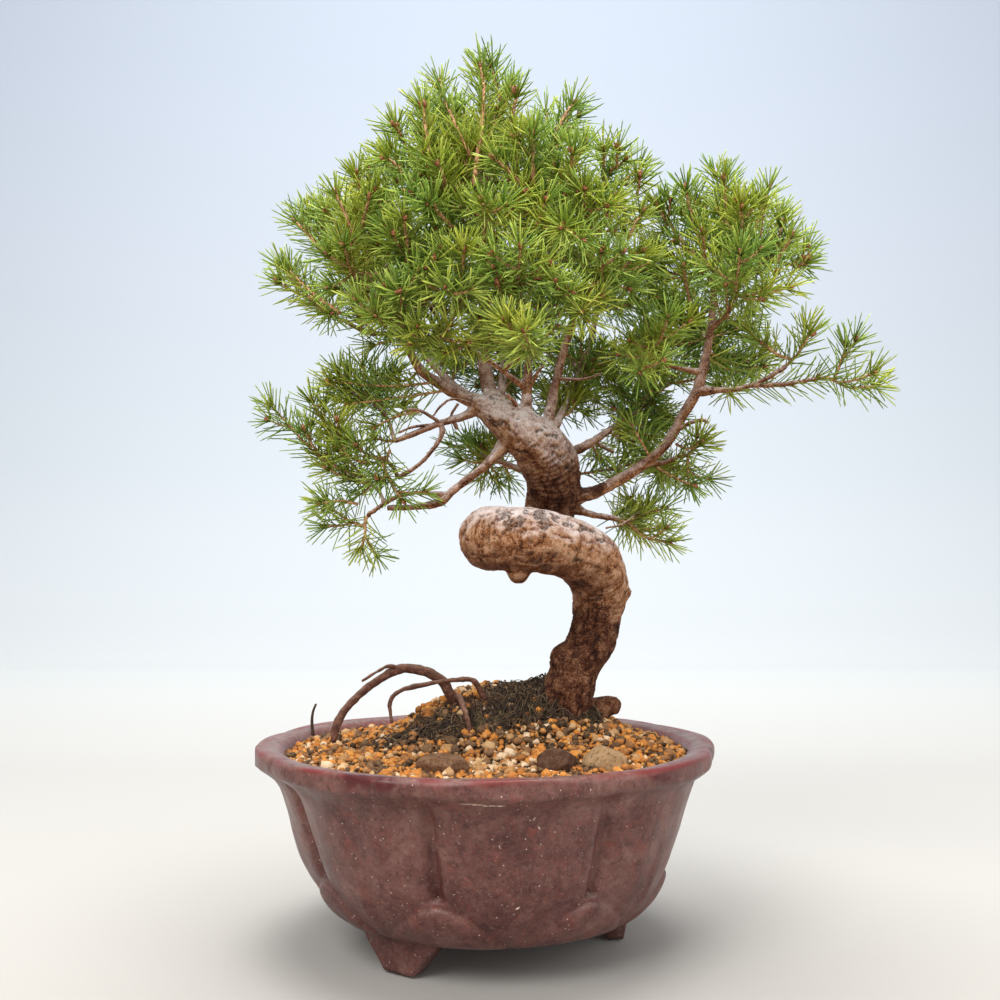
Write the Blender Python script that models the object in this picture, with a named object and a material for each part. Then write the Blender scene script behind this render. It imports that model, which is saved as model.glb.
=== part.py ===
"""A spruce bonsai in its pot: a coiled trunk with its boughs and roots, sprays of needles, gravel and a lobed pot.

Lengths are in millimetres until a mesh is made, and Blender's metres from there on. Every place is first given
round the pot's axis, with +X to the right, +Y to the back and the pot's feet on Z = 0. At the end everything
hangs from one empty, which puts the middle of the whole outline over the origin.
"""

import math
import random

import bpy
import numpy as np

MM = 0.001

# The frame: the middle of the whole outline, seen from the pot's axis
OUTLINE_MIDDLE = (43.4, 0.0)

# The eye that the routes below were read with: its place, how far it looks up, and its picture in pixels
EYE = np.array([7.2, -575.0, 181.0])
EYE_TILT = math.radians(4.03)
FOCAL_PX = 1100.0
MIDDLE_PX = 500.0

# The pot
LOBES = 8
FIRST_GROOVE = math.radians(-14.0)  # from the front, towards the right
POT_SIDES = 6 * LOBES
FOOT_HEIGHT = 14.5
FLOOR_TOP = 24.0
PETAL_TOP = 35.0  # under each groove
PETAL_SWELL = 3.4
PETAL_INSET = 3.0
DRAIN_RADIUS = 9.0
FOOT_RADIUS = 65.0
FOOT_ANGLES = (-35.0, 90.0, 210.0)  # from the front, towards the right
GAP = 0.35  # between pieces that touch
TRUNK_CLEAR_HEIGHT = 140.0  # the trunk's hole in the gravel ends here, in the air

# The gravel
GRAVEL_LEVEL = 93.5
MOUND_HEIGHT = 31.0
MOUND_MIDDLE = (12.0, 8.0)
MOUND_SPREAD = (56.0, 40.0)
GRAIN_RELIEF = 1.6
PEBBLE_HOLE = 1.09  # how much larger than a pebble its place in the gravel is
GRAVEL_EDGE = (91.5, 100.4)  # its height and radius at the pot's wall

# The drainage screen, on the pot's floor
SCREEN_SIDE = 30.0
SCREEN_THICK = 1.2
SCREEN_HOLES = 3

# Needles and shoots
NEEDLE_LENGTH = 15.5
NEEDLE_LEAN = math.radians(52.0)
NEEDLE_ROOT = 1.5  # along the shoot
SHOOT_RADIUS = 1.05
WHORL_STEP = 10.2
FIRST_WHORL = 4.5  # along the shoot, from its start
LAST_WHORL = 1.4  # back from its end
BUD_LENGTH = 3.0
LEAD_LENGTH = 3.8  # how far a shoot runs straight on from its twig
NEEDLE_RADII = (0.85, 0.45)  # of its lower and its upper half
WOOD = -1
SHARP_EDGE = math.radians(28.0)
CLEARANCE = 0.45

# Colours: base colour, roughness
GLAZE = ((0.115, 0.048, 0.045), 0.45)
BARK = ((0.22, 0.12, 0.075), 0.9)
NEEDLE_GREEN = ((0.13, 0.26, 0.035), 0.5)
GRAVEL_OCHRE = ((0.42, 0.22, 0.08), 0.95)
PEBBLE_GREY = ((0.20, 0.15, 0.09), 0.9)
SCREEN_BLACK = ((0.02, 0.02, 0.02), 0.6)

# Routes, read as (pixels across, pixels down, millimetres behind the pot's axis), with a radius in millimetres
TRUNK = [
    (564, 800, -2, 14.5),
    (563, 752, -3, 15.5),
    (563, 722, -4, 13.4),
    (568, 692, -5, 13.4),
    (576, 666, -5, 12.8),
    (591, 640, -5, 12.2),
    (598, 614, -5, 12.8),
    (600, 590, -9, 14.6),
    (594, 568, -17, 15.4),
    (577, 552, -28, 15.4),
    (551, 543, -38, 15.6),
    (524, 539, -43, 15.8),
    (502, 539, -37, 16.2),
    (490, 538, -20, 15.8),
    (492, 540, -1, 14.4),
    (508, 542, 15, 13.8),
    (530, 535, 25, 13.8),
    (546, 518, 26, 14.0),
    (551, 498, 20, 14.6),
    (553, 478, 10, 15.2),
    (547, 459, 2, 15.4),
    (536, 444, -3, 14.4),
    (520, 431, -6, 12.2),
    (503, 418, -5, 9.8),
    (486, 407, -2, 7.0),
]
LIMBS = {
    "right": [(560, 498, 19, 4.8), (588, 494, 15, 3.9), (606, 487, 11, 3.3), (640, 467, 8, 2.9), (666, 444, 6, 2.8),
              (682, 417, 4, 2.7), (698, 388, 2, 2.8), (707, 351, 1, 2.3), (711, 328, 0, 2.0), (713, 300, 0, 1.8),
              (714, 268, 0, 1.6)],
    "right_arm": [(700, 391, 2, 2.2), (726, 390, -4, 1.4), (745, 387, -8, 1.4), (764, 380, -12, 1.4),
                  (778, 371, -14, 1.3)],
    "arm_low": [(754, 385, -10, 1.3), (775, 385, -13, 1.2), (793, 383, -14, 1.1), (814, 379, -14, 1.1)],
    "right_back": [(556, 458, 4, 2.8), (583, 447, 16, 2.5), (604, 434, 27, 2.0), (629, 416, 39, 1.7),
                   (666, 385, 48, 1.4)],
    "middle_right": [(545, 440, 0, 3.2), (550, 412, 2, 2.8), (557, 377, 6, 2.4), (568, 335, 4, 2.0),
                     (584, 285, -4, 1.7), (592, 235, -8, 1.4)],
    "middle": [(522, 430, -6, 3.2), (526, 408, -7, 2.8), (527, 385, -8, 2.5), (528, 358, -12, 2.1),
               (520, 305, -18, 1.8), (520, 262, -24, 1.5), (522, 220, -28, 1.3)],
    "middle_fork": [(526, 388, -8, 1.5), (492, 363, -22, 1.2), (466, 345, -29, 1.1), (445, 330, -34, 1.1)],
    "leader": [(500, 416, -4, 4.8), (488, 385, 6, 3.9), (483, 345, 9, 3.4), (485, 290, 8, 2.9), (484, 240, 4, 2.4),
               (482, 195, 2, 2.0), (481, 165, 2, 1.5)],
    "left": [(492, 411, -3, 5.6), (476, 402, -2, 4.1), (461, 397, 0, 3.2), (440, 384, 0, 2.8), (420, 369, -3, 2.5),
             (405, 341, -6, 2.2), (386, 305, -8, 1.9), (372, 280, -10, 1.5)],
    "left_low": [(478, 408, -2, 2.6), (464, 416, -2, 2.1), (441, 423, -4, 1.9), (413, 434, -6, 1.6),
                 (395, 441, -6, 1.3)],
    "left_hook": [(441, 423, -4, 1.4), (441, 437, -6, 1.2), (422, 462, -6, 1.1), (398, 478, -4, 1.1)],
    "lowest_left": [(508, 440, -6, 3.2), (486, 465, -10, 2.3), (456, 488, -12, 2.1), (440, 502, -12, 2.4),
                    (413, 507, -10, 1.6), (388, 508, -6, 1.3)],
    "lowest_twig": [(446, 495, -12, 1.5), (413, 493, -12, 1.1), (390, 500, -10, 1.1), (374, 511, -8, 1.1)],
    "low_right": [(562, 503, 17, 2.4), (590, 514, 19, 1.8), (618, 519, 20, 1.4)],
    "back_left": [(478, 403, 2, 3.0), (452, 384, 32, 2.4), (424, 352, 52, 2.0), (406, 315, 60, 1.5)],
    "back": [(498, 413, 0, 3.2), (503, 378, 32, 2.6), (508, 335, 54, 2.1), (512, 295, 66, 1.6)],
    "back_right": [(546, 440, 2, 2.8), (566, 405, 34, 2.3), (586, 355, 54, 2.0), (598, 308, 62, 1.5)],
    "back_low": [(548, 474, 14, 2.6), (528, 472, 34, 2.0), (502, 462, 48, 1.6), (484, 456, 54, 1.2)],
}
ROOTS = {
    "arch": [(560, 742, 0, 5.0), (510, 722, -2, 3.8), (470, 712, -6, 3.2), (452, 697, -8, 2.9), (442, 681, -9, 2.8),
             (424, 671, -10, 2.6), (400, 669, -12, 2.6), (374, 683, -14, 2.2), (350, 704, -18, 2.0),
             (337, 724, -22, 2.1), (333, 742, -24, 1.5)],
    "arch_spur": [(400, 669, -12, 1.5), (386, 667, -16, 1.1), (362, 681, -20, 0.7)],
    "thin": [(518, 724, -2, 2.0), (486, 700, -9, 1.6), (474, 681, -15, 1.2), (455, 680, -18, 1.2),
             (428, 684, -20, 1.2), (402, 690, -22, 1.2), (390, 702, -24, 1.1), (392, 722, -26, 0.9)],
    "front": [(456, 701, -7, 2.1), (459, 697, -16, 1.8), (466, 714, -26, 1.5), (471, 738, -30, 1.4),
              (473, 752, -30, 1.1)],
    "nub": [(572, 722, 0, 8.6), (592, 712, 2, 7.2), (606, 706, 2, 5.6), (617, 705, 2, 4.4)],
}
KNOTS = {
    "left_knob": [(574, 662, -6, 9.5), (562, 656, -10, 8.0), (557, 652, -12, 5.5)],
    "cut_stub": [(520, 548, -42, 8.0), (519, 570, -40, 6.4), (519, 579, -38, 3.6)],
    "right_knot": [(612, 592, -9, 5.5), (626, 592, -9, 4.2), (630, 592, -9, 2.4)],
}

# Sprays: the fork that each grows from, then the tips of its shoots, read as the routes are
SPRAYS = [
    [(482, 152, 2), (481, 65, -4), (512, 84, 20)],
    [(466, 172, -14), (439, 90, -8), (422, 106, -42)],
    [(434, 184, 4), (397, 130, 0), (388, 164, -30)],
    [(542, 168, 8), (572, 110, 6), (546, 112, 34)],
    [(530, 192, -48), (533, 136, -78), (502, 160, -66)],
    [(598, 192, 6), (640, 167, 0), (603, 149, -20)],
    [(570, 200, -50), (572, 153, -82), (612, 203, -76)],
    [(394, 218, 14), (356, 178, 8), (374, 168, 34)],
    [(372, 276, -18), (337, 199, -16), (369, 201, -46)],
    [(336, 264, 8), (303, 223, 4), (322, 206, 26)],
    [(346, 322, -8), (282, 267, -10), (314, 300, -32)],
    [(450, 208, -50), (438, 166, -78), (428, 205, -92)],
    [(506, 218, -52), (484, 206, -96), (476, 150, -62)],
    [(408, 262, -50), (404, 220, -88), (425, 268, -88)],
    [(356, 276, -42), (344, 247, -74), (330, 287, -54)],
    [(462, 296, -58), (464, 252, -98), (446, 288, -94)],
    [(517, 290, -56), (520, 248, -102), (494, 268, -94)],
    [(588, 222, -46), (584, 190, -86), (562, 228, -96)],
    [(602, 282, -44), (601, 252, -88), (640, 252, -64)],
    [(400, 318, -44), (401, 293, -86), (376, 316, -82)],
    [(432, 338, -40), (418, 327, -80), (450, 326, -80)],
    [(524, 350, -44), (508, 322, -90), (528, 330, -94)],
    [(570, 302, -48), (556, 282, -92), (582, 312, -84)],
    [(717, 256, 0), (725, 180, 4), (704, 206, 20)],
    [(742, 254, -20), (742, 210, -42), (763, 207, -6)],
    [(762, 264, 0), (788, 239, 0), (803, 265, -8)],
    [(733, 300, -32), (740, 254, -70), (764, 290, -50)],
    [(712, 268, -12), (661, 210, -12), (687, 194, 8)],
    [(702, 330, 26), (694, 292, 48), (668, 318, 44)],
    [(786, 366, -14), (810, 334, -22), (764, 344, -30)],
    [(824, 378, -14), (876, 386, -16), (846, 346, -14)],
    [(668, 384, 50), (692, 345, 62), (652, 352, 74)],
    [(634, 408, 44), (642, 378, 72), (612, 366, 66)],
    [(676, 458, 12), (701, 444, 6), (688, 484, 16)],
    [(622, 520, 22), (668, 543, 16), (650, 506, 42)],
    [(372, 484, 0), (271, 406, 0), (312, 402, -8)],
    [(368, 516, -6), (361, 548, -6), (326, 503, 8)],
    [(374, 402, 0), (338, 372, -2), (332, 396, 12)],
    [(388, 462, -6), (350, 440, -14), (402, 500, -22)],
    [(482, 456, 56), (466, 442, 78), (498, 482, 78)],
    [(402, 312, 62), (354, 284, 82), (384, 254, 90)],
    [(512, 290, 70), (500, 244, 98), (544, 264, 98)],
    [(600, 302, 66), (638, 280, 84), (604, 256, 98)],
    [(452, 250, 42), (430, 205, 78), (470, 216, 88)],
    [(542, 222, 42), (560, 178, 76), (530, 190, 84)],
    [(502, 336, 62), (480, 322, 98), (522, 332, 102)],
    [(442, 344, 54), (410, 340, 84), (452, 364, 92)],
    [(572, 362, 56), (558, 342, 94), (600, 372, 88)],
    [(485, 192, 24), (470, 132, 48), (502, 124, 58)],
    [(648, 350, -20), (668, 318, -58), (640, 372, -52)],
]

PEBBLES = {  # middle, and half its length, width and height
    "pebble_right": ((605, 763, -64), (10.0, 8.0, 7.5)),
    "pebble_middle": ((557, 766, -67), (9.0, 6.5, 6.5)),
    "pebble_left": ((442, 769, -73), (11.5, 7.0, 6.0)),
}


def seen_at(across, down, behind):
    """The place, in millimetres round the pot's axis, that the eye sees at those pixels, that far behind the axis."""
    u = (across - MIDDLE_PX) / FOCAL_PX
    v = (MIDDLE_PX - down) / FOCAL_PX
    look = np.array([u, math.cos(EYE_TILT) - v * math.sin(EYE_TILT), math.sin(EYE_TILT) + v * math.cos(EYE_TILT)])
    return EYE + look * (behind - EYE[1]) / look[1]


def route_of(seen):
    """Points and radii of a route that was read by eye."""
    return np.array([seen_at(*p[:3]) for p in seen]), np.array([p[3] for p in seen], float)


def smooth(points, step):
    """Points about a step apart on a smooth curve through the given ones. Each row may carry a radius too."""
    points = np.asarray(points, float)
    ends = np.vstack([2 * points[0] - points[1], points, 2 * points[-1] - points[-2]])
    made = []
    for i in range(1, len(ends) - 2):
        a, b, c, d = ends[i - 1 : i + 3]
        count = max(1, round(np.linalg.norm((c - b)[:3]) / step))
        for t in np.arange(count) / count:
            made.append(0.5 * (2 * b + (c - a) * t + (2 * a - 5 * b + 4 * c - d) * t**2
                               + (3 * b - a - 3 * c + d) * t**3))
    return np.array([*made, points[-1]])


def smooth_route(seen, step):
    points, radii = route_of(seen)
    rows = smooth(np.column_stack([points, radii]), step)
    return rows[:, :3], rows[:, 3]


def unit(v):
    return v / np.linalg.norm(v)


def side_frames(points):
    """Two directions square to the route at each of its points, turned as little as can be from one to the next."""
    points = np.asarray(points)
    ahead = np.gradient(points, axis=0)
    ahead /= np.linalg.norm(ahead, axis=1)[:, None]
    start = np.cross(ahead[0], (0, 0, 1) if abs(ahead[0][2]) < 0.9 else (1, 0, 0))
    sides = [unit(start)]
    for t in ahead[1:]:
        sides.append(unit(sides[-1] - t * (sides[-1] @ t)))
    sides = np.array(sides)
    return ahead, sides, np.cross(ahead, sides)


def material(name, look):
    made = bpy.data.materials.new(name)
    made.use_nodes = True
    shader = made.node_tree.nodes["Principled BSDF"]
    shader.inputs["Base Color"].default_value = (*look[0], 1.0)
    shader.inputs["Roughness"].default_value = look[1]
    shader.inputs["Metallic"].default_value = 0.0
    return made


def solid(name, points, faces, look=None, smooth_shade=False):
    """An object from points in millimetres."""
    mesh = bpy.data.meshes.new(name)
    mesh.from_pydata((np.asarray(points) * MM).tolist(), [], faces)
    mesh.update()
    made = bpy.data.objects.new(name, mesh)
    bpy.context.scene.collection.objects.link(made)
    if look:
        mesh.materials.append(look)
    if smooth_shade:
        mesh.shade_smooth()
    return made


def tube(name, points, radii, sides, look=None, ridges=0.0):
    """A closed round tube. Ridges, a share of the radius, run along it and turn slowly round it."""
    ahead, across, up = side_frames(points)
    turn = 2 * math.pi * np.arange(sides) / sides
    rings = []
    for i, (p, r) in enumerate(zip(points, radii)):
        uneven = 1 + ridges * np.sin(3 * turn + 0.23 * i) + 0.6 * ridges * np.sin(5 * turn - 0.31 * i)
        rings.append(p + (r * uneven * np.cos(turn))[:, None] * across[i] + (r * uneven * np.sin(turn))[:, None] * up[i])
    last = len(rings) - 1
    faces = [(k * sides + j, k * sides + (j + 1) % sides, (k + 1) * sides + (j + 1) % sides, (k + 1) * sides + j)
             for k in range(last) for j in range(sides)]
    faces.append(tuple(reversed(range(sides))))
    faces.append(tuple(range(last * sides, (last + 1) * sides)))
    return solid(name, np.vstack(rings), faces, look, True)


def joined(base, others, look, operation="UNION", solver="EXACT"):
    """The base with the others joined to it, or cut from it, and the others removed."""
    if others:
        group = bpy.data.collections.new("group")
        bpy.context.scene.collection.children.link(group)
        for other in others:
            bpy.context.scene.collection.objects.unlink(other)
            group.objects.link(other)
        step = base.modifiers.new("join", "BOOLEAN")
        step.operand_type = "COLLECTION"
        step.operation = operation
        step.solver = solver
        step.collection = group
        bpy.context.view_layer.update()
        graph = bpy.context.evaluated_depsgraph_get()
        made = bpy.data.meshes.new_from_object(base.evaluated_get(graph))
        base.modifiers.clear()
        base.data = made
        for other in others:
            bpy.data.objects.remove(other)
        bpy.data.collections.remove(group)
    base.data.materials.clear()
    base.data.materials.append(look)
    base.data.polygons.foreach_set("material_index", [0] * len(base.data.polygons))
    base.data.shade_smooth()
    base.data.set_sharp_from_angle(angle=SHARP_EDGE)
    return base


# The pot

def from_groove(turn):
    """How far a direction is from the nearest groove, in radians. 0 is at the groove, and half a lobe its middle."""
    lobe = 2 * math.pi / LOBES
    return abs((turn - FIRST_GROOVE + lobe / 2) % lobe - lobe / 2)


WALL_PROFILE = [  # height, radius, groove depth
    (14.5, 66.0, 0.0),
    (17.5, 76.0, 0.5),
    (22.0, 81.2, 1.5),
    (27.5, 85.8, 3.5),
    (34.5, 90.4, 5.5),
    (46.0, 96.0, 6.2),
    (68.0, 103.0, 6.0),
    (79.0, 106.5, 4.6),
    (85.5, 110.8, 2.8),
    (90.5, 116.4, 2.4),
    (96.2, 117.0, 2.4),
    (98.0, 115.4, 2.4),
]
WALL_SHIFT = 1.4
RIM_BOTTOM = 85.0
INNER_PROFILE = [(96.8, 104.0), (92.0, 101.0), (70.0, 93.5), (45.0, 84.5), (29.0, 74.0), (FLOOR_TOP, 65.0)]


def pot_ring(height, radius, groove):
    """A ring of the wall: bowed lobes with a groove between them, and low petals that close the grooves' feet."""
    points = []
    lean = WALL_SHIFT if height < RIM_BOTTOM else 0.0
    for k in range(POT_SIDES):
        turn = FIRST_GROOVE + 2 * math.pi * k / POT_SIDES
        share = from_groove(turn) * LOBES / math.pi
        lobe = radius - groove * (1 - math.sqrt(1 - (1 - share) ** 2))
        petal_top = (PETAL_TOP - FOOT_HEIGHT) * (1 - share**1.5) + 1.0
        rise = min(1.0, (height - FOOT_HEIGHT) / petal_top)
        petal = radius - PETAL_INSET + (PETAL_SWELL + PETAL_INSET) * math.sqrt(1 - rise**2)
        r = max(lobe, petal) if rise < 1.0 else lobe
        points.append((r * math.sin(turn) + lean, -r * math.cos(turn), height))
    return points


def round_ring(height, radius):
    turns = FIRST_GROOVE + 2 * math.pi * np.arange(POT_SIDES) / POT_SIDES
    return [(radius * math.sin(t), -radius * math.cos(t), height) for t in turns]


def rings_solid(name, rings, look, closed_ends):
    """A solid of revolution of a kind: rings joined in turn, and the last to the first, or both ends closed."""
    sides = len(rings[0])
    faces = []
    pairs = len(rings) - (1 if closed_ends else 0)
    for k in range(pairs):
        a, b = k * sides, ((k + 1) % len(rings)) * sides
        faces += [(a + j, a + (j + 1) % sides, b + (j + 1) % sides, b + j) for j in range(sides)]
    if closed_ends:
        faces.append(tuple(reversed(range(sides))))
        faces.append(tuple(range((len(rings) - 1) * sides, len(rings) * sides)))
    return solid(name, np.vstack(rings), faces, look)


FOOT_ROOT = 3.5  # how far the feet reach up into the floor
FOOT_DEPTHS = (12.0, 9.0)  # at the root and at the sole
FOOT_CHEEK = [(21.5, FOOT_HEIGHT + FOOT_ROOT), (20.0, 13.5), (16.5, 9.5), (12.5, 5.0), (9.0, 0.0)]


def foot(turn_deg):
    """A bracket foot: wide where it leaves the pot, with curved cheeks and a narrower sole."""
    outline = [(-x, z) for x, z in reversed(FOOT_CHEEK)] + FOOT_CHEEK
    points = []
    for side in (-1.0, 1.0):
        for x, z in outline:
            share = (FOOT_HEIGHT + FOOT_ROOT - z) / (FOOT_HEIGHT + FOOT_ROOT)
            depth = side * (FOOT_DEPTHS[0] * (1 - share) + FOOT_DEPTHS[1] * share) / 2
            points.append((x, depth, z))
    count = len(outline)
    faces = [tuple(range(count)), tuple(reversed(range(count, 2 * count)))]
    faces += [(j, count + j, count + (j + 1) % count, (j + 1) % count) for j in range(count)]
    turn = math.radians(turn_deg)
    out = np.array([math.sin(turn), -math.cos(turn), 0.0])
    along = np.array([math.cos(turn), math.sin(turn), 0.0])
    placed = [x * along - y * out + np.array([0, 0, z]) + FOOT_RADIUS * out for x, y, z in points]
    return solid("foot", placed, faces)


def make_pot(look):
    hole_low = round_ring(FOOT_HEIGHT, DRAIN_RADIUS)
    hole_high = round_ring(FLOOR_TOP, DRAIN_RADIUS)
    outer = [pot_ring(*row) for row in WALL_PROFILE]
    inner = [round_ring(*row) for row in INNER_PROFILE]
    pot = rings_solid("pot", [hole_low, *outer, *inner, hole_high], look, False)
    return joined(pot, [foot(a) for a in FOOT_ANGLES], look)


def make_screen(look):
    """A square grid that keeps the gravel from the drain hole."""
    bar = SCREEN_SIDE / (4 * SCREEN_HOLES + 1)
    low = FLOOR_TOP + GAP
    plate = box("drain_screen", (0, 0, low + SCREEN_THICK / 2), (SCREEN_SIDE, SCREEN_SIDE, SCREEN_THICK), look)
    hole = 3 * bar
    cutters = []
    for i in range(SCREEN_HOLES):
        for j in range(SCREEN_HOLES):
            x = -SCREEN_SIDE / 2 + bar + hole / 2 + i * (bar + hole)
            y = -SCREEN_SIDE / 2 + bar + hole / 2 + j * (bar + hole)
            cutters.append(box("hole", (x, y, low + SCREEN_THICK / 2), (hole, hole, 3 * SCREEN_THICK)))
    return joined(plate, cutters, look, "DIFFERENCE")


def box(name, middle, size, look=None):
    corners = [(sx, sy, sz) for sz in (-0.5, 0.5) for sx, sy in ((-0.5, -0.5), (0.5, -0.5), (0.5, 0.5), (-0.5, 0.5))]
    points = np.array(corners) * size + np.array(middle)
    faces = [(3, 2, 1, 0), (4, 5, 6, 7), (0, 1, 5, 4), (1, 2, 6, 5), (2, 3, 7, 6), (3, 0, 4, 7)]
    return solid(name, points, faces, look)


# The gravel and its pebbles

def gravel_height(x, y):
    mound = math.exp(-abs((x - MOUND_MIDDLE[0]) / MOUND_SPREAD[0]) ** 3 - ((y - MOUND_MIDDLE[1]) / MOUND_SPREAD[1]) ** 2)
    return GRAVEL_LEVEL + MOUND_HEIGHT * mound


def make_gravel(look, cutters):
    """The gravel fills the pot and lies over the screen, and its top is grainy."""
    draw = random.Random(5)
    rings = [round_ring(height + GAP, radius - GAP) for height, radius in reversed(INNER_PROFILE[2:])]
    rings.append(round_ring(GRAVEL_EDGE[0], GRAVEL_EDGE[1]))
    for share in (0.87, 0.68, 0.48, 0.28, 0.10):
        ring = []
        for x, y, _ in round_ring(0.0, GRAVEL_EDGE[1] * share):
            ring.append((x, y, gravel_height(x, y) + draw.uniform(-GRAIN_RELIEF, GRAIN_RELIEF)))
        rings.append(ring)
    gravel = rings_solid("gravel", rings, look, True)
    low = FLOOR_TOP - GAP
    high = FLOOR_TOP + SCREEN_THICK + 2 * GAP
    side = SCREEN_SIDE + 2 * GAP
    cutters.append(box("screen_place", (0, 0, (low + high) / 2), (side, side, high - low)))
    return joined(gravel, cutters, look, "DIFFERENCE")


def pebble(name, middle, half, look, grown=1.0):
    """An uneven rounded stone."""
    draw = random.Random(name)
    bands, sides = 4, 8
    points = [(0, 0, -1)]
    for i in range(1, bands):
        tilt = math.pi * i / bands
        for j in range(sides):
            turn = 2 * math.pi * (j + 0.5 * (i % 2)) / sides
            r = 1 + draw.uniform(-0.1, 0.1)
            points.append((r * math.sin(tilt) * math.cos(turn), r * math.sin(tilt) * math.sin(turn), -math.cos(tilt)))
    points.append((0, 0, 1))
    faces = [(0, 1 + (j + 1) % sides, 1 + j) for j in range(sides)]
    for i in range(bands - 2):
        a, b = 1 + i * sides, 1 + (i + 1) * sides
        faces += [(a + j, a + (j + 1) % sides, b + j) for j in range(sides)]
        faces += [(a + (j + 1) % sides, b + (j + 1) % sides, b + j) for j in range(sides)]
    top, last = len(points) - 1, 1 + (bands - 2) * sides
    faces += [(last + j, last + (j + 1) % sides, top) for j in range(sides)]
    x, y, z = seen_at(*middle)
    centre = np.array([x, y, gravel_height(x, y) + 0.35 * half[2]])
    return solid(name, np.array(points) * half * grown + centre, faces, look)


# The tree's wood

def limb_samples():
    """Points along every limb, each with its radius, for twigs to start from."""
    rows = []
    for seen in LIMBS.values():
        points, radii = smooth_route(seen, 4.0)
        for p, r in list(zip(points, radii))[2:]:
            rows.append((*p, r))
    return np.array(rows)


def twig_route(spray, limbs):
    """A bent twig from the limb that best reaches a spray's fork, as points and radii."""
    fork, *tips = spray
    away = np.linalg.norm(limbs[:, :3] - fork, axis=1)
    above = np.clip(limbs[:, 2] - fork[2] + 6.0, 0, None)
    root = limbs[np.argmin(away + 1.3 * above)]
    start, radius = root[:3], min(root[3] * 0.75, 1.7)
    reach = np.linalg.norm(fork - start)
    before_fork = fork - unit(tips[0] - fork) * reach * 0.38
    middle = (start + fork) / 2 * 0.45 + before_fork * 0.55
    points = smooth([start, middle, fork], max(9.0, reach / 3.0))
    return points, np.linspace(radius, SHOOT_RADIUS + 0.1, len(points))


def make_wood(look, twigs):
    """The trunk, boughs, twigs and roots, which grew as one."""
    points, radii = smooth_route(TRUNK, 9.0)
    trunk = tube("tree_wood", points, radii, 10, look, 0.035)
    pieces = []
    for name, seen in LIMBS.items():
        points, radii = smooth_route(seen, 21.0)
        pieces.append(tube(name, points, radii, 6 if radii[0] > 4 else 5))
    for points, radii in twigs:
        pieces.append(tube("twig", points, radii, 3))
    for name, seen in {**ROOTS, **KNOTS}.items():
        points, radii = smooth_route(seen, 9.0)
        pieces.append(tube(name, points, radii, 8 if radii.max() > 4 else 5))
    return joined(trunk, pieces, look)


def wood_cutters():
    """What the trunk's foot and the roots take out of the gravel."""
    points, radii = smooth_route(TRUNK, 9.0)
    in_gravel = points[:, 2] < TRUNK_CLEAR_HEIGHT
    points[0] -= unit(points[1] - points[0]) * 2 * GAP
    cutters = [tube("trunk_hole", points[in_gravel], radii[in_gravel] * 1.06 + GAP, 10)]
    for name, seen in ROOTS.items():
        points, radii = smooth_route(seen, 9.0)
        ends = unit(points[-1] - points[-2]) * 2 * GAP
        points = np.vstack([points[:-1], points[-1] + ends])
        cutters.append(tube(name + "_hole", points, radii + GAP, 8 if radii.max() > 4 else 5))
    return cutters


# The sprays

def shoot_route(start, tip, lift, lead):
    """A gently bowed shoot from its start to its tip. A lead sets the way that it starts off."""
    middle = (start + tip) / 2 + np.array([0, 0, -lift]) * np.linalg.norm(tip - start)
    if lead is None:
        return smooth([start, middle, tip], 3.0)
    return smooth([start, start + lead * LEAD_LENGTH, middle, tip], 3.0)


def nearest(a0, a1, others):
    """The least distance from a segment to each of the others, each a row of two ends."""
    steps = np.linspace(0, 1, 7)[:, None]
    here = a0 + (a1 - a0) * steps
    start, run = others[:, :3], others[:, 3:6] - others[:, :3]
    along = np.einsum("ijk,jk->ij", here[:, None] - start[None], run) / np.maximum((run**2).sum(1), 1e-9)
    spot = start[None] + np.clip(along, 0, 1)[..., None] * run[None]
    return np.linalg.norm(here[:, None] - spot, axis=2).min(axis=0)


class Space:
    """What the other pieces fill: rows of two ends, a radius and the piece's number."""

    def __init__(self):
        self.rows = []

    def add(self, a, b, radius, owner):
        self.rows.append((*a, *b, radius, owner))

    def add_route(self, points, radii, owner):
        for a, b, r in zip(points[:-1], points[1:], radii):
            self.add(a, b, r, owner)

    def free(self, a, b, radius, owner):
        rows = np.array(self.rows)
        rows = rows[rows[:, 7] != owner]
        near = nearest(a, b, rows) - rows[:, 6]
        return near.min() > radius + CLEARANCE


def shoot_stations(route):
    """How far along a shoot its rings are, a pair to each whorl, with their middles and the shoot's length."""
    travelled = np.concatenate([[0], np.cumsum(np.linalg.norm(np.diff(route, axis=0), axis=1))])
    length = travelled[-1]
    whorls = max(1, int((length - FIRST_WHORL - LAST_WHORL) / WHORL_STEP) + 1)
    stations = [0.0]
    for spot in np.linspace(FIRST_WHORL, length - LAST_WHORL, whorls):
        stations += [spot - NEEDLE_ROOT / 2, spot + NEEDLE_ROOT / 2]
    middle = np.column_stack([np.interp(stations, travelled, route[:, k]) for k in range(3)])
    return stations, middle, length


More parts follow.
